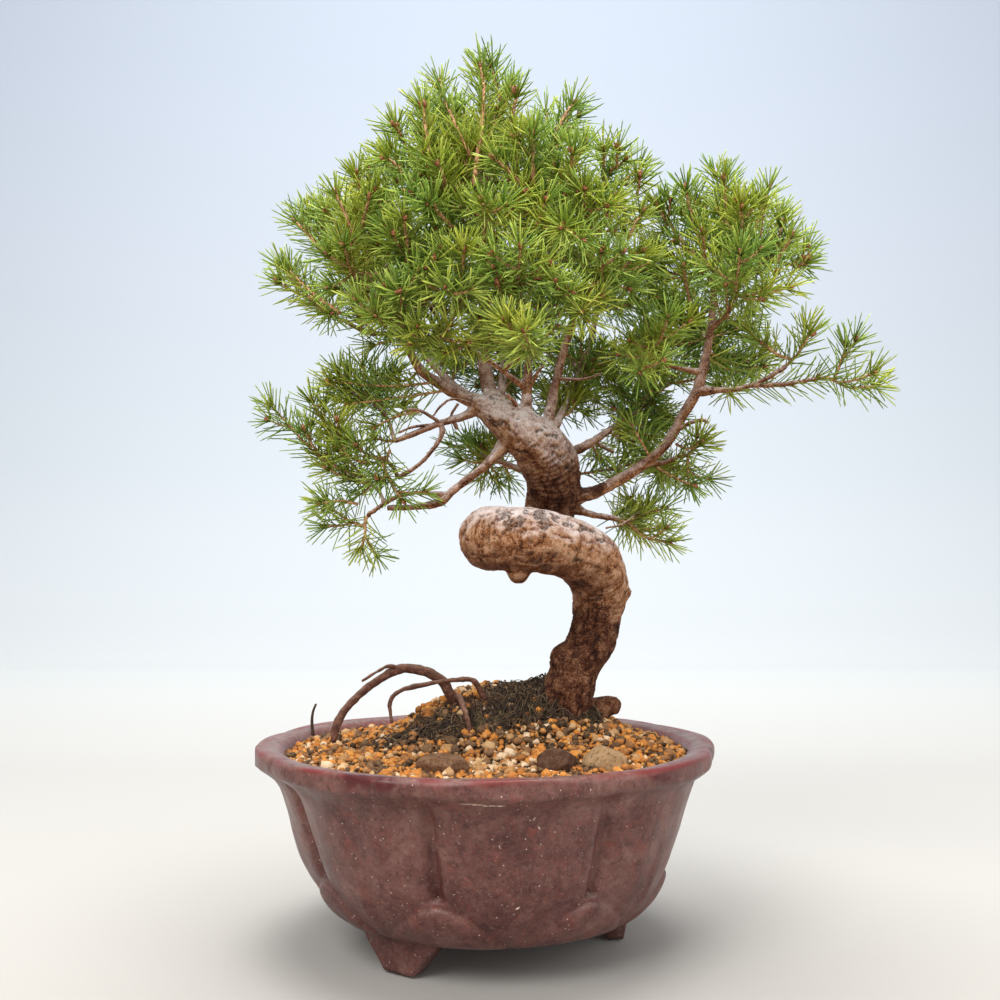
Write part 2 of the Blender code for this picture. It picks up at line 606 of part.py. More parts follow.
def shoot_solid(route, owner, space, draw):
    """A three-sided shoot whose needles grow from its faces in whorls of three, with a bud at its end."""
    stations, middle, length = shoot_stations(route)
    ahead, across, up = side_frames(middle)
    start_turn = draw.uniform(0, 2 * math.pi)
    points, faces = [], [(2, 1, 0)]
    for i, station in enumerate(stations):
        turns = start_turn + math.radians(60) * ((i + 1) // 2) + 2 * math.pi * np.arange(3) / 3
        radius = SHOOT_RADIUS * (1.0 - 0.25 * station / length)
        points += list(middle[i] + radius * (np.outer(np.cos(turns), across[i]) + np.outer(np.sin(turns), up[i])))
    for i in range(len(stations) - 1):
        for j in range(3):
            a, b = 3 * i + j, 3 * i + (j + 1) % 3
            quad = (a, b, b + 3, a + 3)
            tip = None
            if i % 2 == 1:
                root = np.mean([points[q] for q in quad], axis=0)
                tip = needle_tip(root, middle[i], ahead[i], stations[i] / length, owner, space, draw)
            if tip is None:
                faces += [(a, b, a + 3), (b, b + 3, a + 3)]
            else:
                faces += [(quad[k], quad[(k + 1) % 4], len(points)) for k in range(4)]
                points.append(tip)
    last = 3 * (len(stations) - 1)
    faces += [(last, last + 1, len(points)), (last + 1, last + 2, len(points)), (last + 2, last, len(points))]
    points.append(middle[-1] + ahead[-1] * BUD_LENGTH)
    return points, faces


def needle_tip(root, middle, ahead, share, owner, space, draw):
    """Where a needle ends, or nothing where it would come too close to another piece."""
    out = unit(root - middle - ahead * ((root - middle) @ ahead))
    lean = NEEDLE_LEAN * (1.0 - 0.45 * share) * draw.uniform(0.9, 1.1)
    length = NEEDLE_LENGTH * draw.uniform(0.88, 1.08)
    for shortened in (1.0, 0.75):
        tip = root + (math.cos(lean) * ahead + math.sin(lean) * out) * length * shortened
        halfway = (root + tip) / 2
        if space.free(root, halfway, NEEDLE_RADII[0], owner) and space.free(halfway, tip, NEEDLE_RADII[1], owner):
            space.add(root, halfway, NEEDLE_RADII[0], owner)
            space.add(halfway, tip, NEEDLE_RADII[1], owner)
            return tip
    return None


def make_sprays(look, routes, space):
    for owner, shoots in enumerate(routes):
        draw = random.Random(300 + owner)
        made = []
        for k, route in enumerate(shoots):
            points, faces = shoot_solid(route, owner, space, draw)
            name = f"spray_{owner + 1:02d}" if k == 0 else "shoot"
            made.append(solid(name, points, faces, look, True))
        joined(made[0], made[1:], look, "UNION", "MANIFOLD")


def clear_route(start, tip, lift, lead, owner, space, draw):
    """A shoot that is bent, or else shortened, until it is clear of what other pieces fill.

    A shoot with a lead sits on its twig, so its first stretch isn't tested.
    """
    for reach in (1.0, 0.9, 0.78, 0.66, 0.54, 0.42):
        for swing in (0.0, 3.0, 6.0, 9.0):
            for _ in range(1 if swing == 0 else 8):
                aside = np.array([draw.uniform(-1, 1) for _ in range(3)]) * swing
                route = shoot_route(start, start + (tip - start) * reach + aside, lift, lead)
                checked = route if lead is None else route[1:]
                if all(space.free(a, b, SHOOT_RADIUS, owner) for a, b in zip(checked[:-1], checked[1:])):
                    return route
    return None


def plan_sprays(twigs, space):
    """Every spray's shoots, clear of the wood and of each other."""
    routes = []
    for owner, ((points, _), spray) in enumerate(zip(twigs, SPRAYS)):
        draw = random.Random(100 + owner)
        tips = [seen_at(*p) for p in spray[1:]]
        lead = unit(points[-1] - points[-2])
        start = points[-1] + lead * GAP
        shoots = []
        for k, tip in enumerate(tips):
            if shoots:
                lead = None
                start = shoot_stations(shoots[0])[1][1:3].mean(axis=0)
            route = clear_route(start, tip, 0.10 - 0.03 * k, lead, owner, space, draw)
            if route is not None:
                shoots.append(route)
                space.add_route(route, np.full(len(route), SHOOT_RADIUS), owner)
        routes.append(shoots)
    return routes


# The whole

def build():
    for old in list(bpy.data.objects):
        bpy.data.objects.remove(old)

    glaze = material("pot_glaze", GLAZE)
    bark = material("bark", BARK)
    needle_green = material("needle_green", NEEDLE_GREEN)
    ochre = material("gravel_ochre", GRAVEL_OCHRE)
    pebble_grey = material("pebble_grey", PEBBLE_GREY)
    plastic = material("screen_black", SCREEN_BLACK)

    make_pot(glaze)
    make_screen(plastic)
    limbs = limb_samples()
    twigs = [twig_route([seen_at(*p) for p in spray], limbs) for spray in SPRAYS]
    make_wood(bark, twigs)
    cutters = wood_cutters()
    for name, (middle, half) in PEBBLES.items():
        pebble(name, middle, half, pebble_grey)
        cutters.append(pebble(name, middle, half, None, PEBBLE_HOLE))
    make_gravel(ochre, cutters)

    space = Space()
    for points, radii in [smooth_route(TRUNK, 9.0), *(smooth_route(seen, 8.0) for seen in LIMBS.values()), *twigs]:
        space.add_route(points, radii, WOOD)
    make_sprays(needle_green, plan_sprays(twigs, space), space)

    stand = bpy.data.objects.new("bonsai", None)
    bpy.context.scene.collection.objects.link(stand)
    stand.location = (-OUTLINE_MIDDLE[0] * MM, -OUTLINE_MIDDLE[1] * MM, 0.0)
    for piece in bpy.data.objects:
        if piece.type == "MESH":
            piece.parent = stand


build()
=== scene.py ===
"""The finish of a spruce bonsai in its pot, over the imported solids.

It makes the bark, needles, gravel, moss, roots and glaze. Lengths are in millimetres round the pot's axis
until a mesh is made, as in the solids' source. The routes of the trunk, limbs, roots and sprays are the
same ones.
"""

import math

import bpy
import numpy as np
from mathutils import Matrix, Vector


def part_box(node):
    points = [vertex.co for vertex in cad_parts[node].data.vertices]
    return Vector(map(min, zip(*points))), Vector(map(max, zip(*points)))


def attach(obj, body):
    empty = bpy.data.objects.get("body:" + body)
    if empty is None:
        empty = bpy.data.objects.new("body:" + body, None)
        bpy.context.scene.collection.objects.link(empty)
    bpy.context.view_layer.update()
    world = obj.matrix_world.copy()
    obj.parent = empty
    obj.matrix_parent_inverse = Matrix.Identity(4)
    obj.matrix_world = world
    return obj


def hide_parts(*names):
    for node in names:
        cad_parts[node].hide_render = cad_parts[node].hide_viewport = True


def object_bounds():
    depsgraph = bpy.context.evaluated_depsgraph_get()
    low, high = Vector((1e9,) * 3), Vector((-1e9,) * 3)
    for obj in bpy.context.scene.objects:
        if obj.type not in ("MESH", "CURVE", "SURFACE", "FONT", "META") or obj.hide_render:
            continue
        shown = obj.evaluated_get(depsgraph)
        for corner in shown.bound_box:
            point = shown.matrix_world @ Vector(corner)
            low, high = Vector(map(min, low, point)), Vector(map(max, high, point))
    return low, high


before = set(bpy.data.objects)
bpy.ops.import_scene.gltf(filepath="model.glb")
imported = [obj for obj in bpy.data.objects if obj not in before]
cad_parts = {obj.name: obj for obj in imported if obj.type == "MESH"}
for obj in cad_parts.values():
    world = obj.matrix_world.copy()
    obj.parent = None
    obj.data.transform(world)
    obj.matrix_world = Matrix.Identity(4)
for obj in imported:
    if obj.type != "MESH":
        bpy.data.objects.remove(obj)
cad_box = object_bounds()

MM = 0.001
POT_LOW, POT_HIGH = (np.array(corner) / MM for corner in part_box("pot"))
POT_AXIS = np.array([(POT_LOW[0] + POT_HIGH[0]) / 2, (POT_LOW[1] + POT_HIGH[1]) / 2, 0.0])
SPARE = 0.6  # how far inside the solids' outline everything stays
OUTLINE_LOW = np.array(cad_box[0]) / MM - POT_AXIS + SPARE
OUTLINE_HIGH = np.array(cad_box[1]) / MM - POT_AXIS - SPARE

# The eye that the routes were read with: its place, how far it looks up, and its picture in pixels
EYE = np.array([7.2, -575.0, 181.0])
EYE_TILT = math.radians(4.03)
FOCAL_PX = 1100.0
MIDDLE_PX = 500.0
PICTURE_PX = 1000.0
SENSOR = 36.0

# The pot
LOBES = 8
FIRST_GROOVE = math.radians(-14.0)
FOOT_HEIGHT = 14.5
FLOOR_TOP = 24.0
PETAL_TOP = 35.0
PETAL_SWELL = 3.4
PETAL_INSET = 3.0
DRAIN_RADIUS = 9.0
FOOT_RADIUS = 65.0
FOOT_ANGLES = (-35.0, 90.0, 210.0)

# The gravel
GRAVEL_LEVEL = 93.5
MOUND_HEIGHT = 31.0
MOUND_MIDDLE = (12.0, 8.0)
MOUND_SPREAD = (56.0, 40.0)
GRAVEL_EDGE = (91.5, 100.4)

# Needles and shoots
NEEDLE_LENGTH = 15.0
SHOOT_RADIUS = 1.05
LEAD_LENGTH = 3.8
SPRAY_STEP = 3.0
THICKEST_TWIG = 1.7
SHOOT_STEP = 2.0

# Routes, read as (pixels across, pixels down, millimetres behind the pot's axis, radius in millimetres)
TRUNK = [
    (564, 800, -2, 14.5),
    (563, 752, -3, 15.5),
    (563, 722, -4, 13.4),
    (568, 692, -5, 13.4),
    (576, 666, -5, 12.8),
    (591, 640, -5, 12.2),
    (598, 614, -5, 12.8),
    (600, 590, -9, 14.6),
    (594, 568, -17, 15.4),
    (577, 552, -28, 15.4),
    (551, 543, -38, 15.6),
    (524, 539, -43, 15.8),
    (502, 539, -37, 16.2),
    (490, 538, -20, 15.8),
    (492, 540, -1, 14.4),
    (508, 542, 15, 13.8),
    (530, 535, 25, 13.8),
    (546, 518, 26, 14.0),
    (551, 498, 20, 14.6),
    (553, 478, 10, 15.2),
    (547, 459, 2, 15.4),
    (536, 444, -3, 14.4),
    (520, 431, -6, 12.2),
    (503, 418, -5, 9.8),
    (486, 407, -2, 7.0),
]
LIMBS = {
    "right": [(560, 498, 19, 4.8), (588, 494, 15, 3.9), (606, 487, 11, 3.3), (640, 467, 8, 2.9),
              (666, 444, 6, 2.8), (682, 417, 4, 2.7), (698, 388, 2, 2.8), (707, 351, 1, 2.3),
              (711, 328, 0, 2.0), (713, 300, 0, 1.8), (714, 268, 0, 1.6)],
    "right_arm": [(700, 391, 2, 2.2), (726, 390, -4, 1.4), (745, 387, -8, 1.4), (764, 380, -12, 1.4),
                  (778, 371, -14, 1.3)],
    "arm_low": [(754, 385, -10, 1.3), (775, 385, -13, 1.2), (793, 383, -14, 1.1), (814, 379, -14, 1.1)],
    "right_back": [(556, 458, 4, 2.8), (583, 447, 16, 2.5), (604, 434, 27, 2.0), (629, 416, 39, 1.7),
                   (666, 385, 48, 1.4)],
    "middle_right": [(545, 440, 0, 3.2), (550, 412, 2, 2.8), (557, 377, 6, 2.4), (568, 335, 4, 2.0),
                     (584, 285, -4, 1.7), (592, 235, -8, 1.4)],
    "middle": [(522, 430, -6, 3.2), (526, 408, -7, 2.8), (527, 385, -8, 2.5), (528, 358, -12, 2.1),
               (520, 305, -18, 1.8), (520, 262, -24, 1.5), (522, 220, -28, 1.3)],
    "middle_fork": [(526, 388, -8, 1.5), (492, 363, -22, 1.2), (466, 345, -29, 1.1), (445, 330, -34, 1.1)],
    "leader": [(500, 416, -4, 4.8), (488, 385, 6, 3.9), (483, 345, 9, 3.4), (485, 290, 8, 2.9),
               (484, 240, 4, 2.4), (482, 195, 2, 2.0), (481, 165, 2, 1.5)],
    "left": [(492, 411, -3, 5.6), (476, 402, -2, 4.1), (461, 397, 0, 3.2), (440, 384, 0, 2.8),
             (420, 369, -3, 2.5), (405, 341, -6, 2.2), (386, 305, -8, 1.9), (372, 280, -10, 1.5)],
    "left_low": [(478, 408, -2, 2.6), (464, 416, -2, 2.1), (441, 423, -4, 1.9), (413, 434, -6, 1.6),
                 (395, 441, -6, 1.3)],
    "left_hook": [(441, 423, -4, 1.4), (441, 437, -6, 1.2), (422, 462, -6, 1.1), (398, 478, -4, 1.1)],
    "lowest_left": [(508, 440, -6, 3.2), (486, 465, -10, 2.3), (456, 488, -12, 2.1), (440, 502, -12, 2.4),
                    (413, 507, -10, 1.6), (388, 508, -6, 1.3)],
    "lowest_twig": [(446, 495, -12, 1.5), (413, 493, -12, 1.1), (390, 500, -10, 1.1), (374, 511, -8, 1.1)],
    "low_right": [(562, 503, 17, 2.4), (590, 514, 19, 1.8), (618, 519, 20, 1.4)],
    "back_left": [(478, 403, 2, 3.0), (452, 384, 32, 2.4), (424, 352, 52, 2.0), (406, 315, 60, 1.5)],
    "back": [(498, 413, 0, 3.2), (503, 378, 32, 2.6), (508, 335, 54, 2.1), (512, 295, 66, 1.6)],
    "back_right": [(546, 440, 2, 2.8), (566, 405, 34, 2.3), (586, 355, 54, 2.0), (598, 308, 62, 1.5)],
    "back_low": [(548, 474, 14, 2.6), (528, 472, 34, 2.0), (502, 462, 48, 1.6), (484, 456, 54, 1.2)],
}
ROOTS = {
    "arch": [(560, 742, 0, 5.0), (510, 722, -2, 3.8), (470, 712, -6, 3.2), (452, 697, -8, 2.9),
             (442, 681, -9, 2.8), (424, 671, -10, 2.6), (400, 669, -12, 2.6), (374, 683, -14, 2.2),
             (350, 704, -18, 2.0), (337, 724, -22, 2.1), (333, 742, -24, 1.5)],
    "arch_spur": [(400, 669, -12, 1.5), (386, 667, -16, 1.1), (362, 681, -20, 0.7)],
    "thin": [(518, 724, -2, 2.0), (486, 700, -9, 1.6), (474, 681, -15, 1.2), (455, 680, -18, 1.2),
             (428, 684, -20, 1.2), (402, 690, -22, 1.2), (390, 702, -24, 1.1), (392, 722, -26, 0.9)],
    "front": [(456, 701, -7, 2.1), (459, 697, -16, 1.8), (466, 714, -26, 1.5), (471, 738, -30, 1.4),
              (473, 752, -30, 1.1)],
    "nub": [(572, 722, 0, 8.6), (592, 712, 2, 7.2), (606, 706, 2, 5.6), (617, 705, 2, 4.4)],
}
KNOTS = {
    "left_knob": [(574, 662, -6, 9.5), (562, 656, -10, 8.0), (557, 652, -12, 5.5)],
    "cut_stub": [(520, 548, -42, 8.0), (519, 570, -40, 6.4), (519, 579, -38, 3.6)],
    "right_knot": [(612, 592, -9, 5.5), (626, 592, -9, 4.2), (630, 592, -9, 2.4)],
}

# Sprays: the fork that each grows from, then the tips of its shoots, read as the routes are, without radii
SPRAYS = [
    [(482, 152, 2), (481, 65, -4), (512, 84, 20)],
    [(466, 172, -14), (439, 90, -8), (422, 106, -42)],
    [(434, 184, 4), (397, 130, 0), (388, 164, -30)],
    [(542, 168, 8), (572, 110, 6), (546, 112, 34)],
    [(530, 192, -48), (533, 136, -78), (502, 160, -66)],
    [(598, 192, 6), (640, 167, 0), (603, 149, -20)],
    [(570, 200, -50), (572, 153, -82), (612, 203, -76)],
    [(394, 218, 14), (356, 178, 8), (374, 168, 34)],
    [(372, 276, -18), (337, 199, -16), (369, 201, -46)],
    [(336, 264, 8), (303, 223, 4), (322, 206, 26)],
    [(346, 322, -8), (282, 267, -10), (314, 300, -32)],
    [(450, 208, -50), (438, 166, -78), (428, 205, -92)],
    [(506, 218, -52), (484, 206, -96), (476, 150, -62)],
    [(408, 262, -50), (404, 220, -88), (425, 268, -88)],
    [(356, 276, -42), (344, 247, -74), (330, 287, -54)],
    [(462, 296, -58), (464, 252, -98), (446, 288, -94)],
    [(517, 290, -56), (520, 248, -102), (494, 268, -94)],
    [(588, 222, -46), (584, 190, -86), (562, 228, -96)],
    [(602, 282, -44), (601, 252, -88), (640, 252, -64)],
    [(400, 318, -44), (401, 293, -86), (376, 316, -82)],
    [(432, 338, -40), (418, 327, -80), (450, 326, -80)],
    [(524, 350, -44), (508, 322, -90), (528, 330, -94)],
    [(570, 302, -48), (556, 282, -92), (582, 312, -84)],
    [(717, 256, 0), (725, 180, 4), (704, 206, 20)],
    [(742, 254, -20), (742, 210, -42), (763, 207, -6)],
    [(762, 264, 0), (788, 239, 0), (803, 265, -8)],
    [(733, 300, -32), (740, 254, -70), (764, 290, -50)],
    [(712, 268, -12), (661, 210, -12), (687, 194, 8)],
    [(702, 330, 26), (694, 292, 48), (668, 318, 44)],
    [(786, 366, -14), (810, 334, -22), (764, 344, -30)],
    [(824, 378, -14), (876, 386, -16), (846, 346, -14)],
    [(668, 384, 50), (692, 345, 62), (652, 352, 74)],
    [(634, 408, 44), (642, 378, 72), (612, 366, 66)],
    [(676, 458, 12), (701, 444, 6), (688, 484, 16)],
    [(622, 520, 22), (668, 543, 16), (650, 506, 42)],
    [(372, 484, 0), (271, 406, 0), (312, 402, -8)],
    [(368, 516, -6), (361, 548, -6), (326, 503, 8)],
    [(374, 402, 0), (338, 372, -2), (332, 396, 12)],
    [(388, 462, -6), (350, 440, -14), (402, 500, -22)],
    [(482, 456, 56), (466, 442, 78), (498, 482, 78)],
    [(402, 312, 62), (354, 284, 82), (384, 254, 90)],
    [(512, 290, 70), (500, 244, 98), (544, 264, 98)],
    [(600, 302, 66), (638, 280, 84), (604, 256, 98)],
    [(452, 250, 42), (430, 205, 78), (470, 216, 88)],
    [(542, 222, 42), (560, 178, 76), (530, 190, 84)],
    [(502, 336, 62), (480, 322, 98), (522, 332, 102)],
    [(442, 344, 54), (410, 340, 84), (452, 364, 92)],
    [(572, 362, 56), (558, 342, 94), (600, 372, 88)],
    [(485, 192, 24), (470, 132, 48), (502, 124, 58)],
    [(648, 350, -20), (668, 318, -58), (640, 372, -52)],
]

PEBBLES = {  # middle, half its length, width and height, and how pale it is
    "pebble_right": ((605, 763, -64), (10.0, 8.0, 7.5), 0.90),
    "pebble_middle": ((557, 766, -67), (9.0, 6.5, 6.5), 0.05),
    "pebble_left": ((442, 769, -73), (11.5, 7.0, 6.0), 0.40),
}
PEBBLE_FLATS = 9  # how many flat spots each has


def seen_at(across, down, behind):
    """The place, in millimetres, that the eye sees at those pixels and that far behind the pot's axis."""
    u = (across - MIDDLE_PX) / FOCAL_PX
    v = (MIDDLE_PX - down) / FOCAL_PX
    look = np.array([u, math.cos(EYE_TILT) - v * math.sin(EYE_TILT),
                     math.sin(EYE_TILT) + v * math.cos(EYE_TILT)])
    return EYE + look * (behind - EYE[1]) / look[1]


def seen_pixels(places):
    """Where in the picture places are seen, across and down."""
    run = places - EYE
    deep = run[:, 1] * math.cos(EYE_TILT) + run[:, 2] * math.sin(EYE_TILT)
    high = run[:, 2] * math.cos(EYE_TILT) - run[:, 1] * math.sin(EYE_TILT)
    return np.column_stack([MIDDLE_PX + FOCAL_PX * run[:, 0] / deep, MIDDLE_PX - FOCAL_PX * high / deep])


def route_of(seen):
    """Points and radii of a route that was read."""
    return np.array([seen_at(*p[:3]) for p in seen]), np.array([p[3] for p in seen], float)


def smooth(points, step):
    """Points about a step apart on a smooth curve through the given ones. Each row may carry a radius too."""
    points = np.asarray(points, float)
    ends = np.vstack([2 * points[0] - points[1], points, 2 * points[-1] - points[-2]])
    made = []
    for i in range(1, len(ends) - 2):
        a, b, c, d = ends[i - 1 : i + 3]
        count = max(1, round(np.linalg.norm((c - b)[:3]) / step))
        for t in np.arange(count) / count:
            made.append(0.5 * (2 * b + (c - a) * t + (2 * a - 5 * b + 4 * c - d) * t**2
                               + (3 * b - a - 3 * c + d) * t**3))
    return np.array([*made, points[-1]])


def smooth_route(seen, step):
    points, radii = route_of(seen)
    rows = smooth(np.column_stack([points, radii]), step)
    return rows[:, :3], rows[:, 3]


def travelled_along(points):
    """How far along a route each of its points lies."""
    return np.concatenate([[0], np.cumsum(np.linalg.norm(np.diff(points, axis=0), axis=1))])


def unit(v):
    return v / np.linalg.norm(v)


def bell(away, spread):
    """1 where away is 0, falling smoothly to about a third at the spread and nearly 0 at twice the spread."""
    return np.exp(-((away / spread) ** 2))


def side_frames(points):
    """The way ahead at each point of a route, and two directions square to it that turn the least."""
    points = np.asarray(points)
    ahead = np.gradient(points, axis=0)
    ahead /= np.linalg.norm(ahead, axis=1)[:, None]
    start = np.cross(ahead[0], (0, 0, 1) if abs(ahead[0][2]) < 0.9 else (1, 0, 0))
    sides = [unit(start)]
    for t in ahead[1:]:
        sides.append(unit(sides[-1] - t * (sides[-1] @ t)))
    sides = np.array(sides)
    return ahead, sides, np.cross(ahead, sides)


LIMB_STEP = 4.0
ABOVE_COST = 1.3  # for each millimetre that a limb lies higher than the fork of its twig


def limb_samples():
    """Points along every limb, each with its radius, for twigs to start from."""
    rows = []
    for seen in LIMBS.values():
        points, radii = smooth_route(seen, LIMB_STEP)
        for p, r in list(zip(points, radii))[2:]:
            rows.append((*p, r))
    return np.array(rows)


def twig_route(spray, limbs):
    """A bent twig from the limb that best reaches a spray's fork, as points and radii."""
    fork, *tips = spray
    away = np.linalg.norm(limbs[:, :3] - fork, axis=1)
    above = np.clip(limbs[:, 2] - fork[2] + 6.0, 0, None)
    root = limbs[np.argmin(away + ABOVE_COST * above)]
    start, radius = root[:3], min(root[3] * 0.75, THICKEST_TWIG)
    reach = np.linalg.norm(fork - start)
    before_fork = fork - unit(tips[0] - fork) * reach * 0.38
    middle = (start + fork) / 2 * 0.45 + before_fork * 0.55
    points = smooth([start, middle, fork], max(9.0, reach / 3.0))
    return points, np.linspace(radius, SHOOT_RADIUS + 0.1, len(points))


def shoot_route(start, tip, lift, lead):
    """A gently bowed shoot from its start to its tip. A lead sets the way that it starts off."""
    middle = (start + tip) / 2 + np.array([0, 0, -lift]) * np.linalg.norm(tip - start)
    if lead is None:
        return smooth([start, middle, tip], SPRAY_STEP)
    return smooth([start, start + lead * LEAD_LENGTH, middle, tip], SPRAY_STEP)


def gravel_heights(x, y):
    """How high the heaped gravel lies at each place."""
    aside = np.abs((x - MOUND_MIDDLE[0]) / MOUND_SPREAD[0]) ** 3
    behind = ((y - MOUND_MIDDLE[1]) / MOUND_SPREAD[1]) ** 2
    return GRAVEL_LEVEL + MOUND_HEIGHT * np.exp(-aside - behind)


WALL_PROFILE = [  # height, radius, how far the lobes bow
    (14.5, 66.0, 0.0),
    (17.5, 75.5, 0.6),
    (22.0, 81.0, 1.5),
    (27.5, 85.8, 2.4),
    (34.5, 90.4, 3.2),
    (46.0, 96.0, 3.6),
    (68.0, 103.2, 3.4),
    (77.0, 106.0, 3.0),
    (82.5, 108.2, 2.6),
    (86.2, 111.8, 2.4),
    (89.2, 115.8, 2.3),
    (92.5, 117.2, 2.3),
    (96.2, 117.0, 2.3),
    (98.0, 115.4, 2.3),
]
LIP_PROFILE = [  # on over the rim and down its inside
    (98.0, 115.4, 2.3), (98.1, 113.0, 1.6), (97.6, 108.0, 0.5), (96.6, 104.4, 0.0), (95.2, 103.0, 0.0),
    (92.0, 101.2, 0.0), (80.0, 97.0, 0.0),
]
INNER_PROFILE = [(70.0, 93.5, 0.0), (45.0, 84.5, 0.0), (29.0, 74.0, 0.0), (FLOOR_TOP, 65.0, 0.0)]
FLOOR_UNDER = (DRAIN_RADIUS, 24.0, 44.0, 60.0)  # radii of the rings under the floor, and of those on it
FLOOR_OVER = (44.0, 24.0, DRAIN_RADIUS)
WALL_SIDES = LOBES * 48
WALL_STEP, LIP_STEP = 1.2, 1.7
WALL_SHIFT = 1.4  # how far the thrown wall leans to the right of its rim
SHIFT_TOP, SHIFT_FADE = 86.0, 8.0
WAVY_TOP = 88.0  # up to where the wall waves from side to side
POT_SPARE = 0.8
LIP_BOTTOM = 90.0
CHANNEL_HALF = 3.0  # the grooves between the lobes
CHANNEL_DEPTH = 3.3
CHANNEL_ENDS = (24.0, 36.0, 84.0, 91.0)  # heights where the grooves start, are full, and fade out again
CHANNEL_SHARES = (0.0, 1.0, 1.0, 0.12)
CHANNEL_SOFT = 0.42
SHOULDER_DEPTH, SHOULDER_REACH = 1.5, 9.0  # the wall's fall towards each groove
RIB_DEPTH, RIB_HALF = 1.3, 0.10  # the faint rib down each lobe, its half width as a share of the lobe's
RIB_HEIGHT, RIB_SPREAD = 34.0, 15.0
PETAL_EDGE = 1.2
BLEND = 0.45
WORN_OUTSIDE = (97.4, 1.5, 111.0)  # height and spread of the worn glaze on the rim, and from which radius on
WORN_INSIDE = (96.2, 1.2, 105.0)  # the same for its inner edge, up to which radius
POT_REACH = (POT_HIGH[0] - POT_LOW[0]) / 2


# Meshes

def piece_of(name, points, face_sets, materials, smooth_shade=True, slot="bark", replaced=()):
    """An object from points in millimetres and arrays of faces, each array's faces with as many corners."""
    mesh = bpy.data.meshes.new(name)
    points = (np.asarray(points, np.float64) + POT_AXIS) * MM
    face_sets = [np.asarray(faces, np.int64) for faces in face_sets if len(faces)]
    corners = np.concatenate([faces.ravel() for faces in face_sets])
    sizes = np.concatenate([np.full(len(faces), faces.shape[1]) for faces in face_sets])
    mesh.vertices.add(len(points))
    mesh.vertices.foreach_set("co", points.astype(np.float32).ravel())
    mesh.loops.add(len(corners))
    mesh.loops.foreach_set("vertex_index", corners)
    mesh.polygons.add(len(sizes))
    mesh.polygons.foreach_set("loop_start", np.concatenate([[0], np.cumsum(sizes)[:-1]]))
    mesh.update(calc_edges=True)
    mesh.validate()
    made = bpy.data.objects.new(name, mesh)
    bpy.context.scene.collection.objects.link(made)
    for look in materials:
        mesh.materials.append(look)
    if smooth_shade:
        mesh.shade_smooth()
    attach(made, "root")
    if replaced:
        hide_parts(*replaced)
    return made


def add_tone(piece, name, values):
    """A number for each point of the mesh, which a material reads by its name."""
    tones = piece.data.attributes.new(name, "FLOAT", "POINT").data
    tones.foreach_set("value", np.asarray(values, np.float32))


def set_face_materials(piece, numbers):
    piece.data.polygons.foreach_set("material_index", np.asarray(numbers, np.int32))


class Lattice:
    """Smooth noise between -1 and 1 from a seeded lattice of random numbers."""

    SIDE = 32

    def __init__(self, seed):
        self.values = np.random.default_rng(seed).uniform(-1, 1, (self.SIDE,) * 3)

    def __call__(self, points, cell):
        spots = np.asarray(points) / cell
        low = np.floor(spots).astype(int)
        f = spots - low
        f = f * f * (3 - 2 * f)
        total = np.zeros(len(spots))
        for dx in (0, 1):
            for dy in (0, 1):
                for dz in (0, 1):
                    corner = (low + (dx, dy, dz)) % self.SIDE
                    share = np.abs(1 - dx - f[:, 0]) * np.abs(1 - dy - f[:, 1]) * np.abs(1 - dz - f[:, 2])
                    total += share * self.values[corner[:, 0], corner[:, 1], corner[:, 2]]
        return total


LUMPS = Lattice(1)
CRAGS = Lattice(2)


def rings_faces(rings, sides, closed_round=True):
    """The quads between rings of points that follow each other."""
    across = np.arange(sides if closed_round else sides - 1)
    beside = (across + 1) % sides
    start = np.arange(rings - 1)[:, None] * sides
    return np.stack([start + across, start + beside, start + sides + beside, start + sides + across],
                    axis=2).reshape(-1, 4)


def cap_faces(sides, last_ring, low, high):
    """The triangles that join the first ring to the point numbered low, and the last ring to high."""
    across = np.arange(sides)
    beside = (across + 1) % sides
    return np.vstack([np.stack([beside, across, np.full(sides, low)], axis=1),
                      np.stack([last_ring + across, last_ring + beside, np.full(sides, high)], axis=1)])


def fine_tube(points, radii, sides, roughness=None):
    """Points and faces of a tube with blunt ends. Roughness gives the millimetres to add to its skin."""
    ahead, across, up = side_frames(points)
    turns = 2 * math.pi * np.arange(sides) / sides
    spokes = np.cos(turns)[None, :, None] * across[:, None] + np.sin(turns)[None, :, None] * up[:, None]
    skin = points[:, None] + spokes * radii[:, None, None]
    if roughness is not None:
        extra = roughness(skin.reshape(-1, 3)).reshape(len(points), sides)
        skin = skin + spokes * (extra * np.minimum(1.0, radii / radii.max() + 0.3)[:, None])[..., None]
    caps = [points[0] - ahead[0] * radii[0] * 0.5, points[-1] + ahead[-1] * radii[-1] * 0.5]
    made = np.vstack([skin.reshape(-1, 3), caps])
    triangles = cap_faces(sides, (len(points) - 1) * sides, len(made) - 2, len(made) - 1)
    return made, rings_faces(len(points), sides), triangles


SPIKE_FACES = [(0, 1, 3), (1, 2, 3), (2, 0, 3), (2, 1, 0)]  # of a ring of three points and a tip


